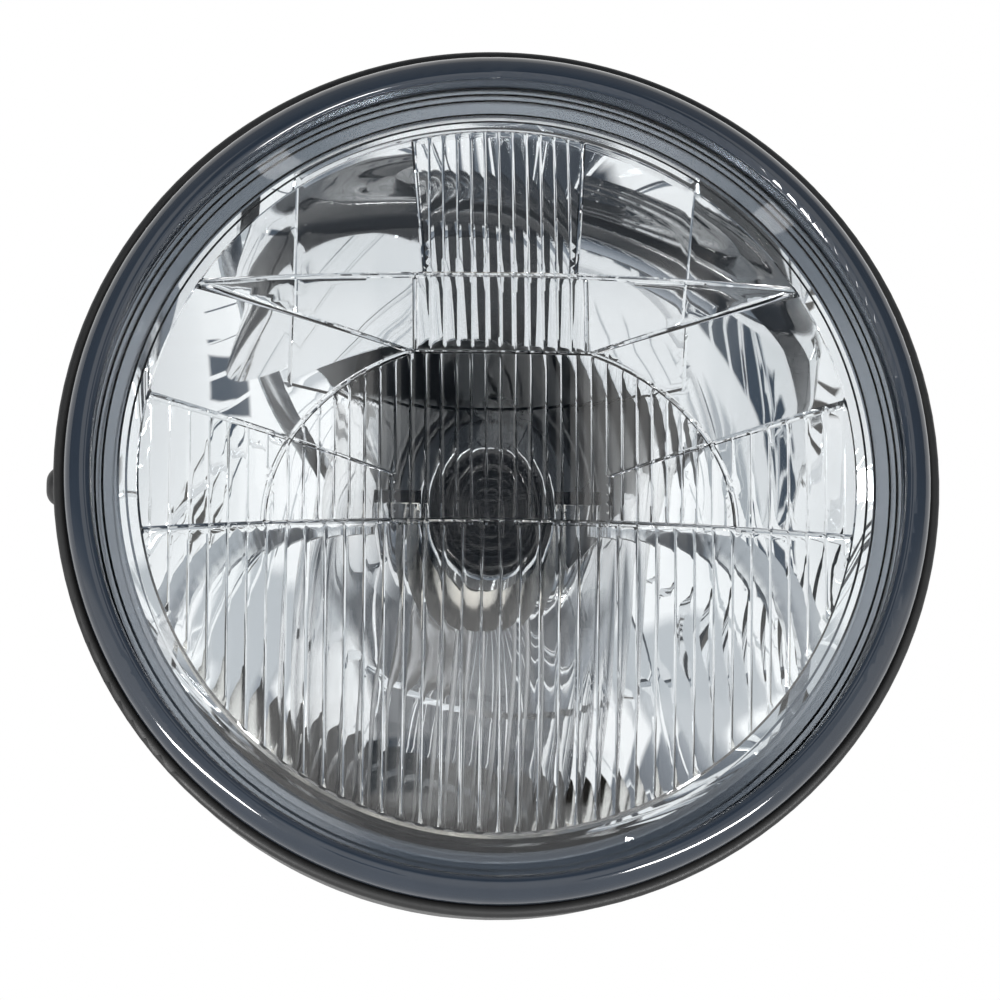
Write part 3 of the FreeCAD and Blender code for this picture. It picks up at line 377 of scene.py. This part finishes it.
def bright_plate():
    return varied("bright_plate", colours=((0.74, 0.72, 0.68), (0.84, 0.82, 0.78)),
                  roughness=(0.12, 0.2), grain=700, relief=0.03, metallic=1.0)[0]


def strap_plate():
    """Bright plated strap, painted black on the face turned to the glass."""
    material, tree, shader = new_material("strap_plate")
    normal = tree.nodes.new("ShaderNodeNewGeometry").outputs["Normal"]
    bright = calculate(tree, "GREATER_THAN", parts_of(tree, normal)["Y"], STRAP_FACE_NORMAL)
    fine = noise(tree, PLATING_GRAIN)
    feed(tree, shader.inputs["Base Color"], mix_colours(tree, bright, BLACK_PAINT, BRIGHT_PLATING))
    feed(tree, shader.inputs["Metallic"], bright)
    feed(tree, shader.inputs["Roughness"], level(tree, fine, 0.05, 0.1))
    return material


def shield_cap():
    """Bright plated cap with a dull inside, painted black on its turned face and on a strip along its top."""
    material, tree, shader = new_material("shield_cap")
    place = parts_of(tree, object_place(tree))
    radius = axis_distance(tree)
    side = map_range(
        tree, radius, SHIELD_PAINT_RADIUS - SHIELD_PAINT_EDGE, SHIELD_PAINT_RADIUS + SHIELD_PAINT_EDGE)
    inside = calculate(tree, "GREATER_THAN", place["Y"], SHIELD_FRONT + SHIELD_PAINT_DEPTH)
    off_face = calculate(tree, "MAXIMUM", side, inside)

    beside_strip = calculate(tree, "MULTIPLY_ADD", place["Z"], -SHIELD_STRIP_LEAN, place["X"])
    strip_half = calculate(tree, "MULTIPLY", place["Z"], SHIELD_STRIP_SLOPE)
    off_strip = calculate(tree, "GREATER_THAN", calculate(tree, "ABSOLUTE", beside_strip), strip_half)
    bright = calculate(tree, "MULTIPLY", off_face, off_strip)

    hollow = calculate(tree, "SUBTRACT", inside, side, clamp=True)
    polish = level(tree, noise(tree, PLATING_GRAIN), 0.01, 0.02)
    roughness = calculate(tree, "MULTIPLY_ADD", hollow, SHIELD_HOLLOW_ROUGHNESS, polish)
    turns = calculate(tree, "MULTIPLY", radius, 2 * math.pi / SHIELD_TURN_PITCH)
    painted = calculate(tree, "SUBTRACT", 1.0, bright)
    grooves = calculate(tree, "MULTIPLY", calculate(tree, "SINE", turns), painted)

    feed(tree, shader.inputs["Base Color"], mix_colours(tree, bright, BLACK_PAINT, BRIGHT_PLATING))
    feed(tree, shader.inputs["Metallic"], bright)
    feed(tree, shader.inputs["Roughness"], roughness)
    add_bump(tree, shader, grooves, strength=0.6, distance=0.0001)
    return material


def mirror():
    """Aluminised bowl; its flange, beyond the mouth, is left dull."""
    material, tree, shader = new_material("aluminised_mirror")
    flange = calculate(tree, "GREATER_THAN", axis_distance(tree), MOUTH_RADIUS / MM_PER_M)
    broad = noise(tree, 40, detail=1.0)
    shine = mix_colours(tree, broad, (0.88, 0.89, 0.90), (0.91, 0.92, 0.93))
    polish = level(tree, broad, 0.008, 0.016)
    feed(tree, shader.inputs["Base Color"], mix_colours(tree, flange, shine, FLANGE_COLOUR))
    feed(tree, shader.inputs["Metallic"], 1.0)
    feed(tree, shader.inputs["Roughness"], calculate(tree, "MULTIPLY_ADD", flange, FLANGE_ROUGHNESS, polish))
    return material


def glass(name, tint, roughest):
    material, tree, shader = new_material(name)
    broad = noise(tree, 60, detail=1.0)
    feed(tree, shader.inputs["Base Color"], mix_colours(tree, broad, tint, (1, 1, 1)))
    feed(tree, shader.inputs["Roughness"], level(tree, broad, 0.0, roughest))
    feed(tree, shader.inputs["Transmission Weight"], 1.0)
    feed(tree, shader.inputs["IOR"], GLASS_IOR)
    return material


def dress(material, *names):
    for name in names:
        mesh = nodes[name].data
        mesh.materials.clear()
        mesh.materials.append(material)


def dress_all():
    zinc = plated_steel("zinc_plate", (0.50, 0.49, 0.46), (0.62, 0.60, 0.56))
    spring = plated_steel("spring_steel", (0.36, 0.36, 0.37), (0.48, 0.48, 0.49))
    tungsten = plated_steel("tungsten", (0.52, 0.52, 0.53), (0.62, 0.62, 0.63))
    brass = plated_steel("brass", (0.62, 0.42, 0.17), (0.72, 0.52, 0.24))
    dress(satin_black(), "shell", "rim_screws")
    dress(gloss_black(), "rim")
    dress(shield_cap(), "bulb_shield")
    dress(strap_plate(), "shield_legs", "shield_rivets")
    dress(black_rubber(), "rear_grommet", "lens_seal", "bulb_boot")
    dress(zinc, "side_weld_nuts", "rim_nuts", "clip_screws")
    dress(bright_plate(), "bulb_seat", "bulb_base")
    dress(spring, "retaining_clips", "bulb_clip")
    dress(tungsten, "bulb_leads", "main_filament", "dip_filament", "dip_shield")
    dress(brass, "bulb_terminals")
    dress(ceramic(), "bulb_insulator")
    dress(glass("bulb_glass", (0.98, 0.98, 0.98), 0.02), "bulb_envelope")


# Mesh helpers; places are in mm, as x, depth and z.

def circle(radius, count, turn=0.0):
    """Points of a circle as x and z, moved on by a share of their spacing."""
    angles = [2 * math.pi * (cut + turn) / count for cut in range(count)]
    return [(radius * math.cos(angle), radius * math.sin(angle)) for angle in angles]


def triangulate(flat):
    """Net over flat places: its places, its faces, each place's source and each source's place."""
    places, _, triangles, origins, *_ = geometry.delaunay_2d_cdt(flat, [], [], 0, MERGE_DISTANCE, True)
    sources = [origin[0] for origin in origins]
    index_of = {old: index for index, origin in enumerate(origins) for old in origin}
    return places, [tuple(face) for face in triangles], sources, index_of


def join_rings(faces, one, other):
    """Band of faces between two rings of vertices."""
    for a in range(len(one)):
        b = (a + 1) % len(one)
        faces.append((one[a], one[b], other[b], other[a]))


def loft(vertices, faces, rings, first):
    """Bands from a first ring through others, given as radius and depth; gives back the last ring."""
    last = first
    for radius, depth in rings:
        ring = list(range(len(vertices), len(vertices) + len(first)))
        vertices.extend((x, depth, z) for x, z in circle(radius, len(first)))
        join_rings(faces, last, ring)
        last = ring
    return last


def new_piece(name, vertices, faces, material, sharp):
    mesh = bpy.data.meshes.new(name)
    places = [(x / MM_PER_M, LIP_Y + depth / MM_PER_M, z / MM_PER_M) for x, depth, z in vertices]
    mesh.from_pydata(places, [], faces)
    work = bmesh.new()
    work.from_mesh(mesh)
    bmesh.ops.recalc_face_normals(work, faces=work.faces)
    work.to_mesh(mesh)
    work.free()
    mesh.materials.append(material)
    mesh.shade_smooth()
    mesh.set_sharp_from_angle(angle=sharp)
    piece = bpy.data.objects.new(name, mesh)
    bpy.context.collection.objects.link(piece)
    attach(piece, "root")
    return piece


# Glass

def wing_height(x):
    return WING_POINT[1] + WING_SLOPE * (x - WING_POINT[0])


def field_at(x, z):
    """Name of the field that a point of the pattern lies in."""
    x = abs(x)
    if z < DIVIDER_Z:
        return "lower"
    if z > UPPER_LINE_Z:
        share = (z - UPPER_LINE_Z) / (COLUMN_TOP_Z - UPPER_LINE_Z)
        half = COLUMN_NECK_HALF + (COLUMN_TOP_HALF - COLUMN_NECK_HALF) * share
        return "column" if x < half else "upper"
    below_wing = x > POCKET_X and z < wing_height(x)
    in_oval = (x / ARCH_HALF_WIDTH) ** 2 + ((z - DIVIDER_Z) / ARCH_HEIGHT) ** 2 < 1
    if in_oval and z < ARCH_TOP_Z:
        return "pocket" if below_wing else "middle"
    if below_wing:
        return "side"
    if z > ARCH_TOP_Z and x < COLUMN_LOW_HALF:
        return "column_foot"
    along = (x - ARCH_CORNER) / (CHEVRON_END_X - ARCH_CORNER)
    chevron = ARCH_TOP_Z + (UPPER_LINE_Z - ARCH_TOP_Z) * along
    return "under" if z > chevron else "wing"


def face_depth(name, x, z):
    """Depth of a field's inner face: part of a ball, or flutes that follow it."""
    pitch, moved, shift_x, shift_z = FIELDS[name]
    centre = DOME_CENTRE + moved
    if not pitch:
        across = abs(x) - shift_x
        up = z - shift_z
        return centre - math.sqrt(INNER_RADIUS ** 2 - across ** 2 - up ** 2)
    left = math.floor(x / pitch + ROUNDING) * pitch
    right = left + pitch
    share = (x - left) / pitch
    reach_left = math.sqrt(INNER_RADIUS ** 2 - left ** 2)
    reach_right = math.sqrt(INNER_RADIUS ** 2 - right ** 2)
    scoop = 4 * FLUTE_SAG_SHARE * pitch * share * (1 - share)
    off_ridge = min(share, 1 - share) * pitch
    ridge = RIDGE_HEIGHT * max(0, 1 - (off_ridge / RIDGE_HALF) ** 2)
    reach = reach_left + (reach_right - reach_left) * share + scoop - ridge
    return centre - math.sqrt(reach ** 2 - z ** 2)


def straight(start, end):
    return lambda t: (start[0] + (end[0] - start[0]) * t, start[1] + (end[1] - start[1]) * t)


def mirrored_curve(curve):
    def point(t):
        x, z = curve(t)
        return -x, z
    return point


def arch_curve(t):
    """Right side of the arch, from the divider to its cut-off top."""
    angle = t * math.acos(ARCH_CORNER / ARCH_HALF_WIDTH)
    return ARCH_HALF_WIDTH * math.cos(angle), DIVIDER_Z + ARCH_HEIGHT * math.sin(angle)


def field_lines():
    """Ribs between the fields: each a curve from 0 to 1 with its width at both ends."""
    edge = PATTERN_RADIUS
    pocket_top = wing_height(POCKET_X)
    middle = [
        (straight((-edge, DIVIDER_Z), (edge, DIVIDER_Z)), PLAIN_RIB),
        (straight((-edge, UPPER_LINE_Z), (edge, UPPER_LINE_Z)), PLAIN_RIB),
        (straight((-ARCH_CORNER, ARCH_TOP_Z), (ARCH_CORNER, ARCH_TOP_Z)), SLIM_RIB),
    ]
    right = [
        (straight((COLUMN_NECK_HALF, UPPER_LINE_Z), (COLUMN_TOP_HALF, COLUMN_TOP_Z)), SLIM_RIB),
        (straight((COLUMN_LOW_HALF, ARCH_TOP_Z), (COLUMN_LOW_HALF, UPPER_LINE_Z)), SLIM_RIB),
        (arch_curve, PLAIN_RIB),
        (straight((ARCH_CORNER, ARCH_TOP_Z), (CHEVRON_END_X, UPPER_LINE_Z)), CHEVRON_RIB),
        (straight((POCKET_X, pocket_top), (edge, wing_height(edge))), WING_RIB),
        (straight((POCKET_X, DIVIDER_Z), (POCKET_X, pocket_top)), SLIM_RIB),
    ]
    return middle + right + [(mirrored_curve(curve), widths) for curve, widths in right]


def rib_points():
    """Points across every rib with their depths, and the ribs' middle points with their half widths."""
    across_points = []
    core = []
    for number, (curve, widths) in enumerate(field_lines()):
        chord = Vector(curve(1)) - Vector(curve(0))
        cuts = max(int(chord.length / RIB_SPACING * CURVE_TO_CHORD), FEWEST_CUTS)
        for cut in range(cuts + 1):
            t = cut / cuts
            here = Vector(curve(t))
            if here.length > PATTERN_RADIUS:
                continue
            ahead = Vector(curve(min(t + TANGENT_STEP, 1))) - Vector(curve(max(t - TANGENT_STEP, 0)))
            across = Vector((-ahead.y, ahead.x)).normalized()
            half = (widths[0] + (widths[1] - widths[0]) * t) / 2
            core.append((here, half, number))
            one_field = field_at(*(here - across * (half + SIDE_PROBE)))
            other_field = field_at(*(here + across * (half + SIDE_PROBE)))
            for stop in RIB_STOPS:
                place = here + across * (half * stop)
                share = (stop + 1) / 2
                low = face_depth(one_field, *place) * (1 - share) + face_depth(other_field, *place) * share
                across_points.append((place, low + RIB_HEIGHT * (1 - stop ** 2), number))
    return across_points, core


def clearance_test(core):
    """Function that says whether a place lies clear of the ribs that come before a number."""
    near = kdtree.KDTree(len(core))
    for index, (place, _, _) in enumerate(core):
        near.insert((place.x, place.y, 0), index)
    near.balance()

    def is_clear(place, spare, before):
        for _, index, distance in near.find_range((place.x, place.y, 0), spare + RIB_SEARCH):
            _, half, number = core[index]
            if number < before and distance < half + spare:
                return False
        return True
    return is_clear


def column_places(pitch):
    """Where a field's columns of points stand: close together on each ridge of a flute, wider between."""
    if not pitch:
        count = int(PATTERN_RADIUS / SMOOTH_SPACING)
        return [SMOOTH_SPACING * number for number in range(-count, count + 1)]
    places = set()
    count = int(PATTERN_RADIUS / pitch) + 1
    for flute in range(-count, count + 1):
        for stop in FLUTE_STOPS:
            places.add(round(flute * pitch + stop, 4))
            places.add(round(flute * pitch - stop, 4))
    return sorted(places)


def pattern_points():
    """Places of the pattern's points, close together across flutes and ribs, and their depths."""
    across_points, core = rib_points()
    is_clear = clearance_test(core)
    every_rib = len(field_lines())
    inner_edge = PATTERN_RADIUS - STEP_WIDTH / 2
    points = []
    for place, depth, number in across_points:
        if place.length < inner_edge - RIB_TO_EDGE and is_clear(place, RIB_SPARE, number):
            points.append((place, depth))
    for place in map(Vector, circle(inner_edge, 2 * LENS_SEGMENTS)):
        if is_clear(place, RIB_SPARE, every_rib):
            points.append((place, face_depth(field_at(*place), *place)))
    for name, (pitch, *_) in FIELDS.items():
        along = ROW_SPACING if pitch else SMOOTH_SPACING
        rows = int(PATTERN_RADIUS / along)
        for x in column_places(pitch):
            for row in range(-rows, rows + 1):
                place = Vector((x, row * along))
                if place.length > inner_edge - FIELD_TO_EDGE or field_at(*place) != name:
                    continue
                if is_clear(place, FIELD_SPARE, every_rib):
                    points.append((place, face_depth(name, *place)))
    return points


def lens_rings():
    """Rings round the pattern: up the stepped border, over the edge and to the middle of the dome."""
    rings = []
    depth = LEDGE_DEPTH
    for radius in reversed(RING_RADII):
        rings += [(radius, depth), (radius + RING_STEP, depth + RING_STEP)]
        depth += RING_STEP
    rings += [(LENS_RADIUS, LENS_BACK), (LENS_RADIUS, LENS_SEAT), (DOME_EDGE_RADIUS, LENS_SEAT)]
    for ring in range(DOME_RINGS - 1, 0, -1):
        radius = DOME_EDGE_RADIUS * ring / DOME_RINGS
        rings.append((radius, DOME_CENTRE - math.sqrt(DOME_RADIUS ** 2 - radius ** 2)))
    return rings


def make_lens(material):
    """The glass: the pressed pattern inside, the stepped border round it and the smooth dome outside."""
    points = pattern_points()
    ledge_start = len(points)
    ledge = circle(PATTERN_RADIUS + STEP_WIDTH / 2, LENS_SEGMENTS)
    points += [(Vector(place), LEDGE_DEPTH) for place in ledge]
    places, faces, sources, index_of = triangulate([place for place, depth in points])
    vertices = [(place.x, points[source][1], place.y) for place, source in zip(places, sources)]
    first = [index_of[ledge_start + cut] for cut in range(LENS_SEGMENTS)]
    last = loft(vertices, faces, lens_rings(), first)
    apex = len(vertices)
    vertices.append((0, DOME_CENTRE - DOME_RADIUS, 0))
    faces += [(a, b, apex) for a, b in zip(last, last[1:] + last[:1])]
    piece = new_piece("fluted_lens", vertices, faces, material, LENS_SHARP)
    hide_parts("lens")


# Reflector

def bowl_depth(radius):
    return VERTEX_DEPTH - radius ** 2 / (4 * FOCAL_LENGTH)


def block_shift(x, z):
    """How far the mirror stands forward: one step inside the block at its upper middle."""
    return BLOCK_STEP if abs(x) < BLOCK_HALF and z > BLOCK_LOW else 0.0


def block_edge_points():
    """Pairs of points along the block's sides and foot, one on each side of the step."""
    half = STEP_WIDTH / 2
    points = []
    top = math.sqrt(MOUTH_RADIUS ** 2 - BLOCK_HALF ** 2) - BLOCK_TOP_GAP
    for cut in range(BLOCK_SIDE_CUTS):
        z = BLOCK_LOW + half + (top - BLOCK_LOW) * cut / BLOCK_SIDE_CUTS
        for side in (-1, 1):
            points.append(Vector((side * (BLOCK_HALF - half), z)))
            points.append(Vector((side * (BLOCK_HALF + half), z)))
    for cut in range(-BLOCK_FOOT_CUTS, BLOCK_FOOT_CUTS + 1):
        x = (BLOCK_HALF - half) * cut / BLOCK_FOOT_CUTS
        points.append(Vector((x, BLOCK_LOW - half)))
        if abs(cut) < BLOCK_FOOT_CUTS:
            points.append(Vector((x, BLOCK_LOW + half)))
    return points


def mirror_points():
    """Points of the mirror's face: rings that keep clear of the block's edges, and those edges."""
    points = []
    for ring in range(1, MIRROR_RINGS):
        radius = NECK_RADIUS + (MOUTH_RADIUS - NECK_RADIUS) * ring / MIRROR_RINGS
        for place in map(Vector, circle(radius, MIRROR_SEGMENTS, 0.5 * (ring % 2))):
            from_side = abs(abs(place.x) - BLOCK_HALF)
            from_foot = abs(place.y - BLOCK_LOW)
            off_side = from_side > BLOCK_CLEAR or place.y < BLOCK_LOW - BLOCK_CORNER
            off_foot = from_foot > BLOCK_CLEAR or abs(place.x) > BLOCK_HALF + BLOCK_CORNER
            if off_side and off_foot:
                points.append(place)
    return points + block_edge_points()


def mirror_rings():
    """Rings behind the mirror's face: round the flange, down the back and round the neck's flange."""
    back_depth = MOUTH_DEPTH + MIRROR_WALL
    behind = 2 * MIRROR_WALL
    outer = math.sqrt((VERTEX_DEPTH + behind - back_depth) * 4 * FOCAL_LENGTH)
    neck_wall = NECK_RADIUS + MIRROR_WALL
    flange_front = SEAT_DEPTH - MIRROR_WALL
    rings = [(LENS_RADIUS, MOUTH_DEPTH), (LENS_RADIUS, back_depth), (outer, back_depth)]
    for ring in range(1, MIRROR_BACK_RINGS + 1):
        radius = outer + (neck_wall - outer) * ring / MIRROR_BACK_RINGS
        rings.append((radius, bowl_depth(radius) + behind))
    return rings + [(neck_wall, flange_front), (NECK_FLANGE_RADIUS, flange_front),
                    (NECK_FLANGE_RADIUS, SEAT_DEPTH), (NECK_RADIUS, SEAT_DEPTH)]


def make_mirror(material):
    """The reflector: its mirrored face with the stepped block, and the plain pressing behind it."""
    flat = mirror_points()
    mouth_start = len(flat)
    neck_start = mouth_start + MIRROR_SEGMENTS
    for radius in (MOUTH_RADIUS, NECK_RADIUS):
        flat += map(Vector, circle(radius, MIRROR_SEGMENTS))
    places, triangles, sources, index_of = triangulate(flat)
    vertices = []
    for place, source in zip(places, sources):
        shift = block_shift(*place) if source < mouth_start else 0.0
        vertices.append((place.x, bowl_depth(place.length) - shift, place.y))
    mouth = [index_of[mouth_start + cut] for cut in range(MIRROR_SEGMENTS)]
    neck = [index_of[neck_start + cut] for cut in range(MIRROR_SEGMENTS)]
    in_hole = set(neck).issuperset
    faces = [face for face in triangles if not in_hole(face)]
    last = loft(vertices, faces, mirror_rings(), mouth)
    join_rings(faces, last, neck)
    piece = new_piece("mirror_bowl", vertices, faces, material, MIRROR_SHARP)
    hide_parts("reflector")


# Camera, floor and light

def add_camera():
    flat = math.cos(CAMERA_ELEVATION)
    look = Vector((-math.sin(CAMERA_AZIMUTH) * flat, math.cos(CAMERA_AZIMUTH) * flat,
                   -math.sin(CAMERA_ELEVATION)))
    right = look.cross(Vector((0, 0, 1))).normalized()
    up = right.cross(look)
    aim = Vector((0, LIP_Y, 0)) + right * CENTRE_RIGHT + up * CENTRE_UP
    data = bpy.data.cameras.new("camera")
    data.sensor_width = SENSOR_WIDTH
    data.lens = SENSOR_WIDTH * CAMERA_DISTANCE / VIEW_WIDTH
    camera = bpy.data.objects.new("camera", data)
    camera.location = aim - look * CAMERA_DISTANCE
    camera.rotation_euler = look.to_track_quat("-Z", "Y").to_euler()
    bpy.context.collection.objects.link(camera)
    bpy.context.scene.camera = camera


def floor_paint():
    """Pale paint that fades out towards the floor's edge; what sees it directly sees it nearly white."""
    material, tree, shader = varied(
        "floor_paint", colours=((0.80, 0.80, 0.80), (0.84, 0.84, 0.84)),
        roughness=(0.6, 0.7), grain=12, relief=0.05, depth=0.001)
    seen = seen_by(tree, "Is Camera Ray", "Is Glossy Ray", "Is Transmission Ray")
    share = calculate(tree, "MULTIPLY", seen, FLOOR_GLOW)
    glow = tree.nodes.new("ShaderNodeEmission").outputs["Emission"]
    pale = mix_shaders(tree, share, shader.outputs["BSDF"], glow)
    distance = vector_length(tree, object_place(tree))
    fade = map_range(tree, distance, FLOOR_FADE_START, FLOOR_FADE_END, interpolation="SMOOTHSTEP")
    clear = tree.nodes.new("ShaderNodeBsdfTransparent").outputs["BSDF"]
    surface = tree.nodes["Material Output"].inputs["Surface"]
    tree.links.new(mix_shaders(tree, fade, pale, clear), surface)
    return material


def add_floor():
    bpy.ops.mesh.primitive_plane_add(size=2 * FLOOR_REACH, location=(0, 0, FLOOR_HEIGHT))
    floor = bpy.context.object
    floor.name = "floor"
    floor.data.materials.append(floor_paint())


def add_light(name, location, size, power):
    data = bpy.data.lights.new(name, "AREA")
    data.shape = "RECTANGLE"
    data.size, data.size_y = size
    data.energy = power
    light = bpy.data.objects.new(name, data)
    light.location = location
    light.rotation_euler = (-Vector(location)).to_track_quat("-Z", "Y").to_euler()
    bpy.context.collection.objects.link(light)


def sky_colour(tree, height):
    """Colour of the studio without its panels, from the direction's height."""
    gradient = tree.nodes.new("ShaderNodeValToRGB")
    stops = gradient.color_ramp.elements
    for place, _ in WORLD_STOPS[1:-1]:
        stops.new(place)
    for stop, (place, colour) in zip(stops, WORLD_STOPS):
        stop.position = place
        stop.color = (*colour, 1)
    tree.links.new(map_range(tree, height, -1.0, 1.0), gradient.inputs["Fac"])
    return gradient.outputs["Color"]


def panel_distance(tree, part, middle, half):
    """How far a part of the direction lies from a panel's middle, as a share of the panel's half size."""
    offset = calculate(tree, "ABSOLUTE", calculate(tree, "SUBTRACT", part, middle))
    return calculate(tree, "DIVIDE", offset, half)


def add_panel(tree, across, height, hidden, colour, panel):
    """Colour of the studio with one more panel, which doesn't show where hidden is well above 1."""
    middle, half, shade = panel
    farthest = hidden
    for part, place, reach in zip((across, height), middle, half):
        farthest = calculate(tree, "MAXIMUM", farthest, panel_distance(tree, part, place, reach))
    edge = map_range(tree, farthest, 1 - PANEL_SOFTNESS, 1 + PANEL_SOFTNESS)
    return mix_colours(tree, edge, shade, colour)


def background(tree, colour):
    node = tree.nodes.new("ShaderNodeBackground")
    feed(tree, node.inputs["Color"], colour)
    return node.outputs["Background"]


def add_world():
    """Soft studio: bright low down, darker above, with panels in front of the lamp and a white backdrop."""
    world = bpy.data.worlds.new("studio")
    bpy.context.scene.world = world
    world.use_nodes = True
    tree = world.node_tree
    tree.nodes.clear()
    direction = parts_of(tree, tree.nodes.new("ShaderNodeTexCoord").outputs["Generated"])
    across, height = direction["X"], direction["Z"]
    behind = calculate(tree, "GREATER_THAN", direction["Y"], 0.0)
    hidden = calculate(tree, "MULTIPLY", behind, 2.0)
    either_side = calculate(tree, "ABSOLUTE", across)

    colour = sky_colour(tree, height)
    for panel in SIDE_PANELS:
        colour = add_panel(tree, either_side, height, hidden, colour, panel)
    for panel in DARK_PANELS:
        colour = add_panel(tree, across, height, hidden, colour, panel)

    mirrored = seen_by(tree, "Is Glossy Ray", "Is Transmission Ray")
    backdrop = calculate(tree, "MULTIPLY", mirrored, behind)
    white_share = calculate(tree, "MAXIMUM", backdrop, seen_by(tree, "Is Camera Ray"))
    surface = mix_shaders(tree, white_share, background(tree, colour), background(tree, (1, 1, 1)))
    output = tree.nodes.new("ShaderNodeOutputWorld")
    tree.links.new(surface, output.inputs["Surface"])


def main():
    bpy.context.scene.view_settings.view_transform = "Standard"
    dress_all()
    make_lens(glass("lens_glass", (0.97, 0.99, 0.99), 0.02))
    make_mirror(mirror())
    add_camera()
    add_floor()
    add_world()
    for name, (location, size, power) in LIGHTS.items():
        add_light(name, location, size, power)


main()
